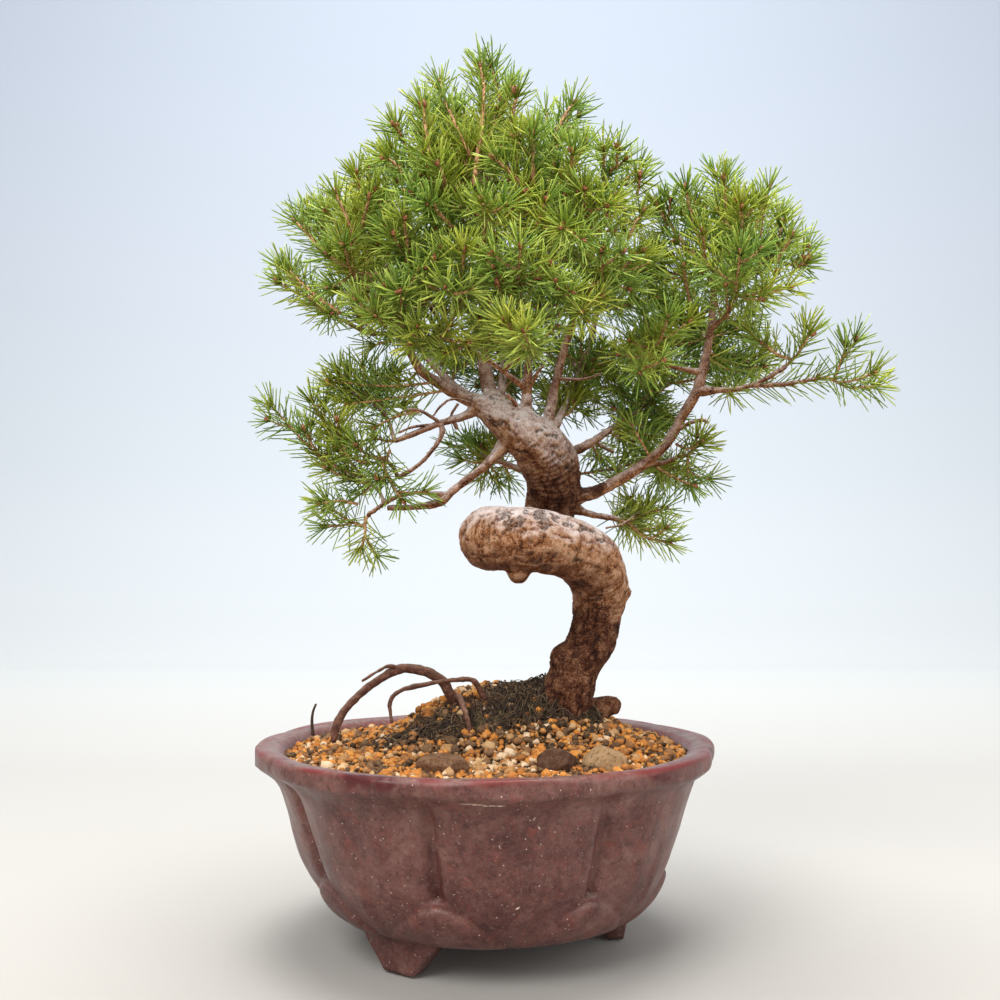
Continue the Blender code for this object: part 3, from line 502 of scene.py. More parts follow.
class Gathered:
    """Several meshes gathered into one, each face with the number of its material."""

    def __init__(self):
        self.points, self.quads, self.triangles, self.count = [], [], [], 0
        self.quad_looks, self.triangle_looks, self.tones = [], [], []

    def add(self, points, quads=(), triangles=(), look=0, tone=0.0):
        if len(quads):
            self.quads.append(np.asarray(quads) + self.count)
            self.quad_looks.append(np.full(len(quads), look))
        if len(triangles):
            self.triangles.append(np.asarray(triangles) + self.count)
            self.triangle_looks.append(np.full(len(triangles), look))
        self.points.append(points)
        self.tones.append(np.broadcast_to(tone, len(points)))
        self.count += len(points)

    def piece(self, name, materials, **options):
        sets = [np.vstack(faces) for faces in (self.quads, self.triangles) if faces]
        looks = [np.concatenate(looks) for looks in (self.quad_looks, self.triangle_looks) if looks]
        made = piece_of(name, np.vstack(self.points), sets, materials, **options)
        set_face_materials(made, np.concatenate(looks))
        add_tone(made, "tone", np.concatenate(self.tones))
        return made


# Materials

class Graph:
    """A material's nodes, made one after another."""

    def __init__(self, name, **shader_values):
        self.material = bpy.data.materials.new(name)
        self.material.use_nodes = True
        self.tree = self.material.node_tree
        self.shader = self.tree.nodes["Principled BSDF"]
        for socket, value in shader_values.items():
            self.shader.inputs[socket.replace("_", " ")].default_value = value
        self.place = self.node("ShaderNodeTexCoord").outputs["Object"]

    def node(self, kind, inputs=(), **settings):
        made = self.tree.nodes.new(kind)
        for name, value in settings.items():
            setattr(made, name, value)
        for key, value in dict(inputs).items():
            if isinstance(value, bpy.types.NodeSocket):
                self.tree.links.new(value, made.inputs[key])
            else:
                made.inputs[key].default_value = value
        return made

    def noise(self, size_mm, detail=3.0, roughness=0.55, distortion=0.0, place=None):
        """Noise from 0 to 1 with features about that many millimetres wide."""
        return self.node("ShaderNodeTexNoise", {
            "Vector": place or self.place, "Scale": 1.0 / (size_mm * MM), "Detail": detail,
            "Roughness": roughness, "Distortion": distortion}).outputs["Fac"]

    def cells(self, size_mm, feature="F1", place=None):
        """The distance to the nearest of many points, about that many millimetres apart."""
        cells = self.node("ShaderNodeTexVoronoi", {
            "Vector": place or self.place, "Scale": 1.0 / (size_mm * MM)}, feature=feature)
        return cells.outputs["Distance"]

    def stretched(self, x, y, z):
        return self.node("ShaderNodeMapping", {"Vector": self.place, "Scale": (x, y, z)}).outputs["Vector"]

    def streak(self, start, end, half_width):
        """A thin straight mark between two places in the picture, on what faces the camera there."""
        first, last = (seen_at(*spot, SCRATCH_BEHIND) + POT_AXIS for spot in (start, end))
        run = last - first
        placed = self.node("ShaderNodeMapping", {
            "Vector": self.place, "Location": tuple((first + last) / 2 * MM),
            "Rotation": (0.0, -math.atan2(run[2], run[0]), 0.0),
            "Scale": (math.hypot(run[0], run[2]) / 2 * MM, 1.0, half_width * MM)}, vector_type="TEXTURE")
        parts = self.node("ShaderNodeSeparateXYZ", {"Vector": placed.outputs["Vector"]}).outputs
        edge = self.math("MAXIMUM", self.math("ABSOLUTE", parts["X"]), self.math("ABSOLUTE", parts["Z"]))
        front = self.range(self.node("ShaderNodeSeparateXYZ", {"Vector": self.place}).outputs["Y"], 0.0,
                           -0.01)
        return self.times(front, self.range(edge, 1.0, 0.6))

    def tone(self, name="tone"):
        return self.node("ShaderNodeAttribute", attribute_name=name).outputs["Fac"]

    def height(self):
        """The place's height over the floor, in metres."""
        return self.node("ShaderNodeSeparateXYZ", {"Vector": self.place}).outputs["Z"]

    def upward(self):
        """How far the surface faces up, from -1 to 1."""
        normal = self.node("ShaderNodeNewGeometry").outputs["Normal"]
        return self.node("ShaderNodeSeparateXYZ", {"Vector": normal}).outputs["Z"]

    def range(self, value, low, high, to_low=0.0, to_high=1.0):
        return self.node("ShaderNodeMapRange", {
            "Value": value, "From Min": low, "From Max": high, "To Min": to_low, "To Max": to_high,
        }).outputs["Result"]

    def math(self, operation, a, b=0.0):
        return self.node("ShaderNodeMath", {0: a, 1: b}, operation=operation).outputs[0]

    def times(self, a, b):
        return self.math("MULTIPLY", a, b)

    def plus(self, a, b):
        return self.math("ADD", a, b)

    def ramp(self, value, stops):
        made = self.node("ShaderNodeValToRGB", {"Fac": value})
        elements = made.color_ramp.elements
        while len(elements) < len(stops):
            elements.new(0.5)
        for element, (spot, color) in zip(elements, stops):
            element.position = spot
            element.color = (*color, 1.0)
        return made.outputs["Color"]

    def mix(self, share, a, b, blend="MIX"):
        made = self.node("ShaderNodeMix", data_type="RGBA", blend_type=blend)
        for number, value in ((0, share), (6, a), (7, b)):
            if isinstance(value, bpy.types.NodeSocket):
                self.tree.links.new(value, made.inputs[number])
            elif number == 0:
                made.inputs[0].default_value = value
            else:
                made.inputs[number].default_value = (*value, 1.0)
        return made.outputs[2]

    def bump(self, height, strength, depth_mm, before=None):
        inputs = {"Height": height, "Strength": strength, "Distance": depth_mm * MM}
        if before:
            inputs["Normal"] = before
        return self.node("ShaderNodeBump", inputs).outputs["Normal"]

    def finish(self, color=None, roughness=None, normal=None):
        for socket, value in (("Base Color", color), ("Roughness", roughness), ("Normal", normal)):
            if value is not None:
                self.tree.links.new(value, self.shader.inputs[socket])
        return self.material


SCRATCHES = [  # pale rubbed lines on the glaze: both ends in the picture, and half their width in mm
    ((459, 804), (484, 805), 0.55), ((478, 806), (506, 806), 0.45), ((533, 825), (537, 821), 0.45),
    ((516, 924), (521, 921), 0.5), ((499, 851), (501, 855), 0.35), ((538, 829), (541, 835), 0.35),
]
SCRATCH_BEHIND = -112.0  # where the wall that carries them lies, behind the pot's axis


def glaze_look():
    """A satin purple-brown glaze: mottled, thin and red here and there, with dust that also paints a
    highlight on what faces up, pits and pale specks.
    """
    g = Graph("pot_glaze", Coat_Weight=0.10, Coat_Roughness=0.35, Specular_IOR_Level=0.32)
    drift = g.plus(g.times(g.noise(30.0, 5.0, 0.62, 0.5), 0.6), g.times(g.noise(6.0, 6.0, 0.7), 0.4))
    base = g.ramp(drift, [(0.36, (0.060, 0.018, 0.016)), (0.46, (0.105, 0.036, 0.030)),
                          (0.55, (0.155, 0.064, 0.052)), (0.66, (0.230, 0.120, 0.100))])
    runs = g.range(g.noise(4.5, 4.0, 0.7, 0.3, g.stretched(1.0, 1.0, 0.22)), 0.52, 0.68)
    base = g.mix(g.times(runs, 0.45), base, (0.070, 0.016, 0.014))
    smoke = g.range(g.noise(2.2, 6.0, 0.8), 0.50, 0.64)
    base = g.mix(g.times(smoke, 0.50), base, (0.205, 0.108, 0.092))
    deep = g.range(g.noise(3.2, 5.0, 0.75, 0.4), 0.53, 0.63)
    base = g.mix(g.times(deep, 0.60), base, (0.048, 0.013, 0.012))
    red = g.range(g.noise(7.0, 5.0, 0.7), 0.54, 0.70)
    base = g.mix(g.times(red, 0.55), base, (0.20, 0.040, 0.028))
    specks = g.range(g.cells(3.1), 0.13, 0.055)
    some = g.range(g.noise(9.0, 2.0), 0.46, 0.56)
    base = g.mix(g.times(specks, some), base, (0.60, 0.48, 0.40))
    fine_specks = g.range(g.cells(1.7, place=g.stretched(1.0, 0.9, 1.1)), 0.13, 0.06)
    base = g.mix(g.times(fine_specks, g.range(g.noise(14.0, 2.0), 0.50, 0.60)), base, (0.46, 0.33, 0.28))
    red_specks = g.range(g.cells(2.3, place=g.stretched(1.0, 1.0, 0.9)), 0.17, 0.08)
    base = g.mix(g.times(red_specks, 0.65), base, (0.36, 0.070, 0.035))
    # Pale dust on what faces up, which also paints the highlight on the rim's top.
    dust_and_highlight = g.range(g.upward(), 0.10, 0.90)
    grain = g.range(g.noise(2.4, 6.0, 0.8), 0.42, 0.62)
    base = g.mix(g.times(dust_and_highlight, g.plus(g.times(grain, 0.45), 0.05)), base, (0.36, 0.25, 0.20))
    base = g.mix(g.tone("worn"), base, (0.17, 0.020, 0.018))
    base = g.mix(g.tone("wet"), base, (0.075, 0.010, 0.010))
    broken = g.range(g.noise(1.6, 4.0, 0.7), 0.40, 0.56)
    for start, end, half_width in SCRATCHES:
        base = g.mix(g.times(g.streak(start, end, half_width), broken), base, (0.60, 0.48, 0.38))
    rough = g.range(g.noise(12.0, 5.0, 0.7), 0.3, 0.7, 0.30, 0.55)
    rough = g.math("SUBTRACT", rough, g.times(g.tone("wet"), 0.16))
    normal = g.bump(g.noise(1.1, 3.0), 0.35, 0.25)
    normal = g.bump(g.noise(9.0, 2.0), 0.40, 0.9, normal)
    return g.finish(base, rough, normal)


def bark_look(name, fine=False):
    """Scaly bark: pale and pinkish where it faces up and orange brown where it faces down, painted light from
    above, with painted shade underneath; dark in its cracks and low on the trunk, partly painted shade.
    """
    g = Graph(name, Specular_IOR_Level=0.2)
    flecks = g.noise(0.9, 6.0, 0.85)
    drift = g.noise(5.5, 4.0, 0.65)
    share = g.plus(g.times(flecks, 0.64), g.times(drift, 0.36))
    if not fine:
        # Partly painted light and shade: raised plates are mixed paler and the cracks between them darker.
        relief = g.tone("relief")
        share = g.plus(g.times(share, 0.84), g.times(relief, 0.15))
    pale = g.ramp(share, [(0.38, (0.075, 0.028, 0.016)), (0.425, (0.38, 0.200, 0.140)),
                          (0.50, (0.74, 0.525, 0.450)), (0.58, (0.95, 0.82, 0.79))])
    brown = g.ramp(share, [(0.38, (0.010, 0.003, 0.002)), (0.45, (0.110, 0.036, 0.013)),
                           (0.52, (0.310, 0.122, 0.046)), (0.61, (0.62, 0.37, 0.22))])
    blotch = g.noise(15.0, 4.0, 0.65)
    # Painted light from above: the bark is mixed paler where it faces up and browner where it faces down.
    up = g.plus(g.upward(), g.range(blotch, 0.25, 0.75, -0.40, 0.40))
    if fine:
        base = g.mix(g.range(up, -0.30, 0.85), brown, pale)
    else:
        # Painted light: the tone added here makes the upper trunk paler, against the shade that the crown
        # casts on it.
        base = g.mix(g.range(g.plus(up, g.times(g.tone("upper_painted_light"), 0.40)), 0.08, 0.80), brown, pale)
        # Painted shade: the bark is darkened further where it faces down.
        under = g.range(g.upward(), -0.10, -0.85, 0.0, 0.80)
        base = g.mix(under, base, g.mix(1.0, base, (0.30, 0.20, 0.17), "MULTIPLY"))
    if not fine:
        dark = g.ramp(share, [(0.40, (0.006, 0.002, 0.001)), (0.48, (0.034, 0.010, 0.005)),
                              (0.55, (0.100, 0.031, 0.013)), (0.64, (0.33, 0.170, 0.092))])
        # Partly painted shade: the bark is darker low on the trunk and round its collar.
        base = g.mix(g.tone("dark_and_shaded"), base, dark)
        # The scars and flaking patches are dark in themselves; the troughs of the wrinkles are darkened as
        # painted shade.
        flaked = g.times(g.tone("groove"), g.range(g.noise(1.3, 4.0, 0.7), 0.36, 0.50))
        base = g.mix(flaked, base, (0.024, 0.010, 0.007))
        # Partly painted shade: the bark darkens where its relief is low, in the cracks between its plates.
        cracked = g.times(g.range(relief, 0.34, 0.0), g.plus(g.times(g.tone("dark_and_shaded"), 0.5), 0.3))
        base = g.mix(cracked, base, (0.026, 0.011, 0.007))
    normal = g.bump(flecks, 0.9, 0.7)
    normal = g.bump(g.noise(0.6, 4.0, 0.7), 0.5, 0.25, normal)
    return g.finish(base, g.range(flecks, 0.3, 0.7, 0.98, 0.75), normal)


def needle_look(name):
    """Waxy needles: some shoots bluish and some yellowish, and each needle of its own green."""
    g = Graph(name, Roughness=0.42, Specular_IOR_Level=0.3)
    own = g.tone("tone")
    cool = g.ramp(own, [(0.0, (0.045, 0.110, 0.018)), (0.5, (0.255, 0.440, 0.068)),
                        (1.0, (0.76, 0.89, 0.220))])
    warm = g.ramp(own, [(0.0, (0.110, 0.155, 0.012)), (0.5, (0.430, 0.500, 0.042)),
                        (1.0, (0.90, 0.92, 0.180))])
    base = g.mix(g.range(g.noise(30.0, 2.0, 0.5), 0.42, 0.62), cool, warm)
    base = g.mix(g.range(g.noise(2.0, 2.0), 0.3, 0.7, 0.0, 0.18), base, (0.66, 0.72, 0.16))
    g.tree.links.new(base, g.shader.inputs["Base Color"])
    through = g.node("ShaderNodeBsdfTranslucent", {"Color": base})
    both = g.node("ShaderNodeMixShader", {0: 0.34, 1: g.shader.outputs[0], 2: through.outputs[0]})
    g.tree.links.new(both.outputs[0], g.tree.nodes["Material Output"].inputs["Surface"])
    return g.material


def shoot_look():
    g = Graph("shoot_bark", Roughness=0.8)
    base = g.ramp(g.noise(1.6, 4.0, 0.75), [(0.36, (0.16, 0.055, 0.020)), (0.50, (0.44, 0.205, 0.080)),
                                            (0.64, (0.74, 0.48, 0.26))])
    return g.finish(base, None, g.bump(g.noise(0.8, 3.0), 0.6, 0.3))


def bud_look():
    g = Graph("bud_scales", Roughness=0.55)
    base = g.ramp(g.noise(1.0, 3.0, 0.7), [(0.36, (0.14, 0.034, 0.014)), (0.52, (0.36, 0.110, 0.042)),
                                           (0.66, (0.58, 0.28, 0.14))])
    return g.finish(base, None, g.bump(g.cells(0.7), 0.7, 0.3))


def gravel_look():
    """Baked clay grains: ochre and orange, tan, cream, grey and dark brown, each grain of its own, with
    painted shade on their undersides.
    """
    g = Graph("gravel_grains", Specular_IOR_Level=0.2)
    own = g.ramp(g.tone(), [
        (0.00, (0.022, 0.014, 0.010)), (0.14, (0.085, 0.046, 0.028)), (0.27, (0.210, 0.110, 0.055)),
        (0.36, (0.37, 0.135, 0.034)), (0.56, (0.60, 0.215, 0.038)), (0.74, (0.74, 0.31, 0.064)),
        (0.85, (0.42, 0.22, 0.088)), (0.95, (0.64, 0.40, 0.20)), (1.0, (0.88, 0.68, 0.48))])
    mottle = g.noise(1.4, 5.0, 0.7)
    base = g.mix(g.range(mottle, 0.45, 0.80, 0.0, 0.40), own, (0.72, 0.44, 0.19))
    base = g.mix(g.range(g.noise(0.8, 3.0), 0.47, 0.27, 0.0, 0.6), base, (0.09, 0.045, 0.02))
    # Painted shade: the grains' sides and undersides are darkened.
    base = g.mix(g.range(g.upward(), 0.30, -0.55, 0.0, 0.65), base, (0.030, 0.016, 0.010))
    return g.finish(base, g.range(mottle, 0.3, 0.7, 1.0, 0.8), g.bump(g.noise(0.7, 5.0, 0.7), 0.8, 0.4))


def soil_look():
    g = Graph("dark_soil", Roughness=0.95, Specular_IOR_Level=0.2)
    base = g.ramp(g.noise(2.2, 6.0, 0.8), [(0.34, (0.010, 0.006, 0.004)), (0.48, (0.050, 0.030, 0.016)),
                                           (0.58, (0.10, 0.075, 0.035)), (0.70, (0.30, 0.18, 0.085))])
    return g.finish(base, None, g.bump(g.noise(1.2, 6.0, 0.8), 0.9, 1.0))


def moss_look():
    g = Graph("moss", Roughness=0.9)
    base = g.ramp(g.tone(), [(0.0, (0.020, 0.012, 0.008)), (0.40, (0.080, 0.042, 0.022)),
                             (0.75, (0.125, 0.078, 0.040)), (1.0, (0.30, 0.22, 0.13))])
    return g.finish(base, None, g.bump(g.noise(0.6, 3.0), 0.5, 0.2))


def root_look():
    """Reddish dark brown root bark, with a painted pale highlight on what faces up."""
    g = Graph("root_bark", Specular_IOR_Level=0.3)
    mottle = g.noise(2.6, 5.0, 0.7)
    base = g.ramp(mottle, [(0.3, (0.045, 0.016, 0.010)), (0.52, (0.13, 0.050, 0.030)),
                           (0.72, (0.30, 0.16, 0.11))])
    # Painted highlight: paler where the root faces up.
    base = g.mix(g.range(g.upward(), 0.2, 0.95, 0.0, 0.35), base, (0.36, 0.24, 0.18))
    return g.finish(base, g.range(mottle, 0.3, 0.7, 0.75, 0.95), g.bump(g.noise(1.1, 5.0, 0.7), 0.7, 0.5))


def pebble_look():
    g = Graph("pebble_stone", Specular_IOR_Level=0.25)
    own = g.ramp(g.tone(), [(0.0, (0.070, 0.026, 0.014)), (0.5, (0.200, 0.092, 0.045)),
                            (1.0, (0.42, 0.255, 0.12))])
    mottle = g.noise(3.0, 6.0, 0.75)
    base = g.mix(g.range(mottle, 0.42, 0.72, 0.0, 0.5), own,
                 g.mix(g.tone(), (0.22, 0.13, 0.08), (0.56, 0.40, 0.24)))
    base = g.mix(g.range(g.noise(1.5, 4.0), 0.5, 0.3, 0.0, 0.7), base, (0.05, 0.032, 0.02))
    return g.finish(base, g.range(mottle, 0.3, 0.7, 0.95, 0.8), g.bump(g.noise(1.3, 6.0, 0.75), 0.8, 0.8))


def screen_look():
    g = Graph("screen_black", Roughness=0.6)
    base = g.ramp(g.noise(4.0, 4.0), [(0.35, (0.012, 0.012, 0.012)), (0.7, (0.05, 0.045, 0.04))])
    return g.finish(base, None, g.bump(g.noise(1.0, 3.0), 0.3, 0.2))


# The pot

def pot_radius(height, radius, groove, turns):
    """The wall's radius each way round: bowed lobes with a rib each, grooves, and low petals under these."""
    share = np.minimum(from_groove(turns) * LOBES / math.pi, 1.0)
    away = from_groove(turns) * radius
    full = np.interp(height, CHANNEL_ENDS, CHANNEL_SHARES)
    channel = CHANNEL_DEPTH * full / (1 + np.exp((away - CHANNEL_HALF) / CHANNEL_SOFT))
    shoulder = SHOULDER_DEPTH * full * np.exp(-(away / SHOULDER_REACH))
    lobe = radius - groove * (1 - share) ** 2 * (1.6 - 0.6 * (1 - share)) - channel - shoulder
    rib_fade = math.exp(-(((height - RIB_HEIGHT) / RIB_SPREAD) ** 2))
    lobe += RIB_DEPTH * rib_fade * bell(1 - share, RIB_HALF)
    petal_top = (PETAL_TOP - FOOT_HEIGHT) * (1 - share**1.6) + PETAL_EDGE
    rise = np.clip((height - FOOT_HEIGHT) / petal_top, 0, 1.25)
    swell = np.sqrt(np.clip(1 - (rise / 1.06) ** 3.0, 0, 1))
    petal = radius - PETAL_INSET + (PETAL_SWELL + PETAL_INSET - PETAL_EDGE) * swell
    soft = np.logaddexp(lobe / BLEND, petal / BLEND) * BLEND - 0.2
    return np.where(rise < 1.2, soft, lobe)


def from_groove(turn):
    """How far round each way is from the nearest groove."""
    lobe = 2 * math.pi / LOBES
    return np.abs((turn - FIRST_GROOVE + lobe / 2) % lobe - lobe / 2)


FOOT_CHEEK = [  # one side of a foot's outline: aside from its middle, and up from the floor's underside
    (21.2, 5.0, 0), (20.6, 0.8, 0), (18.4, -3.0, 0), (15.2, -6.6, 0), (12.2, -10.2, 0), (9.9, -13.2, 0),
    (8.7, -FOOT_HEIGHT, 0),
]
FOOT_LAYERS = (-1.0, -0.93, -0.75, 0.75, 0.93, 1.0)  # as shares of half the foot's thickness
FOOT_THICK, FOOT_TAPER = 6.0, 1.6


def fine_foot(turn_deg):
    """A bracket foot with rounded cheeks, in the same place as the solid's."""
    cheek = smooth(FOOT_CHEEK, WALL_STEP)[:, :2]
    outline = np.vstack([np.column_stack([-cheek[::-1, 0], cheek[::-1, 1]]), cheek])
    layers = []
    for depth in FOOT_LAYERS:
        inset = 1.0 - 0.9 * max(0.0, (abs(depth) - 0.75) / 0.25) ** 2 * 0.12
        share = np.clip((FOOT_CHEEK[0][1] - outline[:, 1]) / (FOOT_CHEEK[0][1] + FOOT_HEIGHT), 0, 1)
        reach = FOOT_THICK - FOOT_TAPER * share
        layers.append(np.column_stack([outline[:, 0] * inset, depth * reach, outline[:, 1] + FOOT_HEIGHT]))
    points = np.vstack(layers)
    count = len(outline)
    quads = rings_faces(len(layers), count)
    turn = math.radians(turn_deg)
    out = np.array([math.sin(turn), -math.cos(turn), 0.0])
    along = np.array([math.cos(turn), math.sin(turn), 0.0])
    placed = np.outer(points[:, 0], along) - np.outer(points[:, 1], out) + points[:, 2:] * (0, 0, 1)
    placed = placed + FOOT_RADIUS * out
    bottom = np.arange(count)
    return placed, quads[:, ::-1], bottom, (len(layers) - 1) * count + bottom


def make_pot(look):
    sides = WALL_SIDES
    turns = FIRST_GROOVE + 2 * math.pi * np.arange(sides) / sides
    floor_under = [(FOOT_HEIGHT, r, 0.0) for r in FLOOR_UNDER]
    floor_over = [(FLOOR_TOP, r, 0.0) for r in FLOOR_OVER]
    wall = smooth(WALL_PROFILE, WALL_STEP)
    rows = np.vstack([floor_under, wall, smooth(LIP_PROFILE, LIP_STEP)[1:], INNER_PROFILE, floor_over])
    rings, worn = [], []
    for height, radius, groove in rows:
        on_wall = height > FOOT_HEIGHT and groove > 0.0
        r = pot_radius(height, radius, groove, turns) if on_wall else np.full(sides, radius)
        lean = WALL_SHIFT * np.clip((SHIFT_TOP - height) / SHIFT_FADE, 0, 1) * (1.0 if on_wall else 0.0)
        ring = np.column_stack([r * np.sin(turns) + lean, -r * np.cos(turns), np.full(sides, height)])
        rings.append(ring)
        level, spread, least = WORN_OUTSIDE
        edge = math.exp(-(((height - level) / spread) ** 2)) * (1.0 if radius > least else 0.0)
        level, spread, most = WORN_INSIDE
        edge += 0.7 * math.exp(-(((height - level) / spread) ** 2)) * (1.0 if radius < most else 0.0)
        worn.append(np.full(sides, min(1.0, edge)))
    points = np.vstack(rings)
    out = points * (1, 1, 0)
    out /= np.linalg.norm(out, axis=1)[:, None]
    solid_wall = points[:, 2] > FOOT_HEIGHT + 1.0
    uneven = 0.55 * LUMPS(points, 24.0) + 0.22 * CRAGS(points, 8.0)
    uneven += 0.75 * LUMPS(points * (1.0, 1.0, 0.2) + 70.0, 13.0) * (points[:, 2] < WAVY_TOP)
    limit = np.minimum(0.0, POT_REACH - np.linalg.norm(points[:, :2], axis=1) - POT_SPARE)
    points += out * (uneven * solid_wall + limit)[:, None]
    on_lip = points[:, 2] > LIP_BOTTOM
    points[:, 2] += 0.35 * LUMPS(points + 50.0, 30.0) * on_lip - 0.4 * on_lip
    last = (len(rows) - 1) * sides
    across = np.arange(sides)
    closing = np.stack([last + across, last + (across + 1) % sides, (across + 1) % sides, across], axis=1)
    gathered = Gathered()
    quads = np.vstack([rings_faces(len(rows), sides), closing])
    gathered.add(points, quads)
    worn = np.concatenate(worn)
    patchy = np.clip(0.70 + 0.9 * LUMPS(points, 11.0), 0, 1)
    worn_all = [worn * patchy]
    for angle in FOOT_ANGLES:
        placed, foot_quads, bottom, top = fine_foot(angle)
        caps = []
        for ring, flip in ((bottom, False), (top, True)):
            half = len(ring) // 2
            pairs = [(ring[k], ring[k + 1], ring[-k - 2], ring[-k - 1]) for k in range(half - 1)]
            caps += [tuple(reversed(q)) if not flip else q for q in pairs]
        gathered.add(placed, np.vstack([foot_quads, np.array(caps)[:, ::-1]]))
        worn_all.append(np.zeros(len(placed)))
    made = gathered.piece("pot_glazed", [look], slot="pot_glaze", replaced=["pot"])
    add_tone(made, "worn", np.concatenate(worn_all))
    add_tone(made, "wet", wet_share(np.vstack(gathered.points)))
    return made


WET_PATCHES = [  # dark red runs on the rim: middle, half width and half length in the picture
    ((350, 779), 7, 12), ((364, 780), 9, 9), ((380, 781), 7, 13), ((390, 783), 5, 8), ((662, 778), 14, 5),
]
WET_BOTTOM = 84.0
WET_BEHIND = -20.0


def wet_share(points):
    """How far each place of the rim is under a dark red run."""
    seen = seen_pixels(points)
    share = np.zeros(len(points))
    ragged = 1 + 0.5 * CRAGS(points, 3.0)
    for middle, half_wide, long in WET_PATCHES:
        away = np.abs(seen - middle) / (half_wide, long)
        share = np.maximum(share, np.clip(1.6 - 1.5 * (away ** 2).sum(axis=1) * ragged, 0, 1))
    return share * (points[:, 1] < WET_BEHIND) * (points[:, 2] > WET_BOTTOM)


# The wood

TRUNK_STEP = 3.0
TRUNK_VOXEL = 0.86
STUB_SAMPLES = 15  # how much of each bough is merged into the trunk's skin
STUB_REACH = 14.0  # and how near the trunk's middle line such a bough starts
TRUNK_SIDES, KNOT_SIDES, NUB_SIDES, STUB_SIDES = 28, 18, 20, 16
TRUNK_SMOOTHING = 6
BARK_ROUND, BARK_ALONG = 15.0, 0.8  # the bark's pattern, laid round the trunk and stretched along it
AT_ONCE = 4000  # places measured at a time, to spare memory


def near_route(places, points):
    """For each place, the nearest sample of a route: its number and its distance."""
    nearest_sample = np.empty(len(places), int)
    away = np.empty(len(places))
    for start in range(0, len(places), AT_ONCE):
        part = slice(start, start + AT_ONCE)
        gaps = np.linalg.norm(places[part, None] - points[None], axis=2)
        nearest_sample[part] = gaps.argmin(axis=1)
        away[part] = gaps.min(axis=1)
    return nearest_sample, away


def union_by_voxels(name, tubes, voxel_mm, smoothing):
    """Tubes merged into one skin, with fillets where they meet: its points, normals and faces."""
    gathered = Gathered()
    for points, quads, triangles in tubes:
        gathered.add(points, quads, triangles)
    rough = bpy.data.meshes.new(name + "_rough")
    faces = [f for faces_set in gathered.quads + gathered.triangles for f in faces_set.tolist()]
    rough.from_pydata((np.vstack(gathered.points) * MM).tolist(), [], faces)
    holder = bpy.data.objects.new(name + "_rough", rough)
    bpy.context.scene.collection.objects.link(holder)
    remesh = holder.modifiers.new("merge", "REMESH")
    remesh.mode = "VOXEL"
    remesh.voxel_size = voxel_mm * MM
    even = holder.modifiers.new("even", "SMOOTH")
    even.factor = 0.6
    even.iterations = smoothing
    bpy.context.view_layer.update()
    made = bpy.data.meshes.new_from_object(holder.evaluated_get(bpy.context.evaluated_depsgraph_get()))
    points = np.empty(len(made.vertices) * 3, np.float32)
    made.vertices.foreach_get("co", points)
    normals = np.empty(len(made.vertices) * 3, np.float32)
    made.vertex_normals.foreach_get("vector", normals)
    corners = np.empty(len(made.loops), np.int32)
    made.loops.foreach_get("vertex_index", corners)
    bpy.data.objects.remove(holder)
    bpy.data.meshes.remove(rough)
    bpy.data.meshes.remove(made)
    return points.reshape(-1, 3) / MM, normals.reshape(-1, 3), corners.reshape(-1, 4)


def flared(points, radii, gain, length):
    """A limb's radii, swollen where it leaves what carries it."""
    return radii * (1 + gain * bell(travelled_along(points), length))


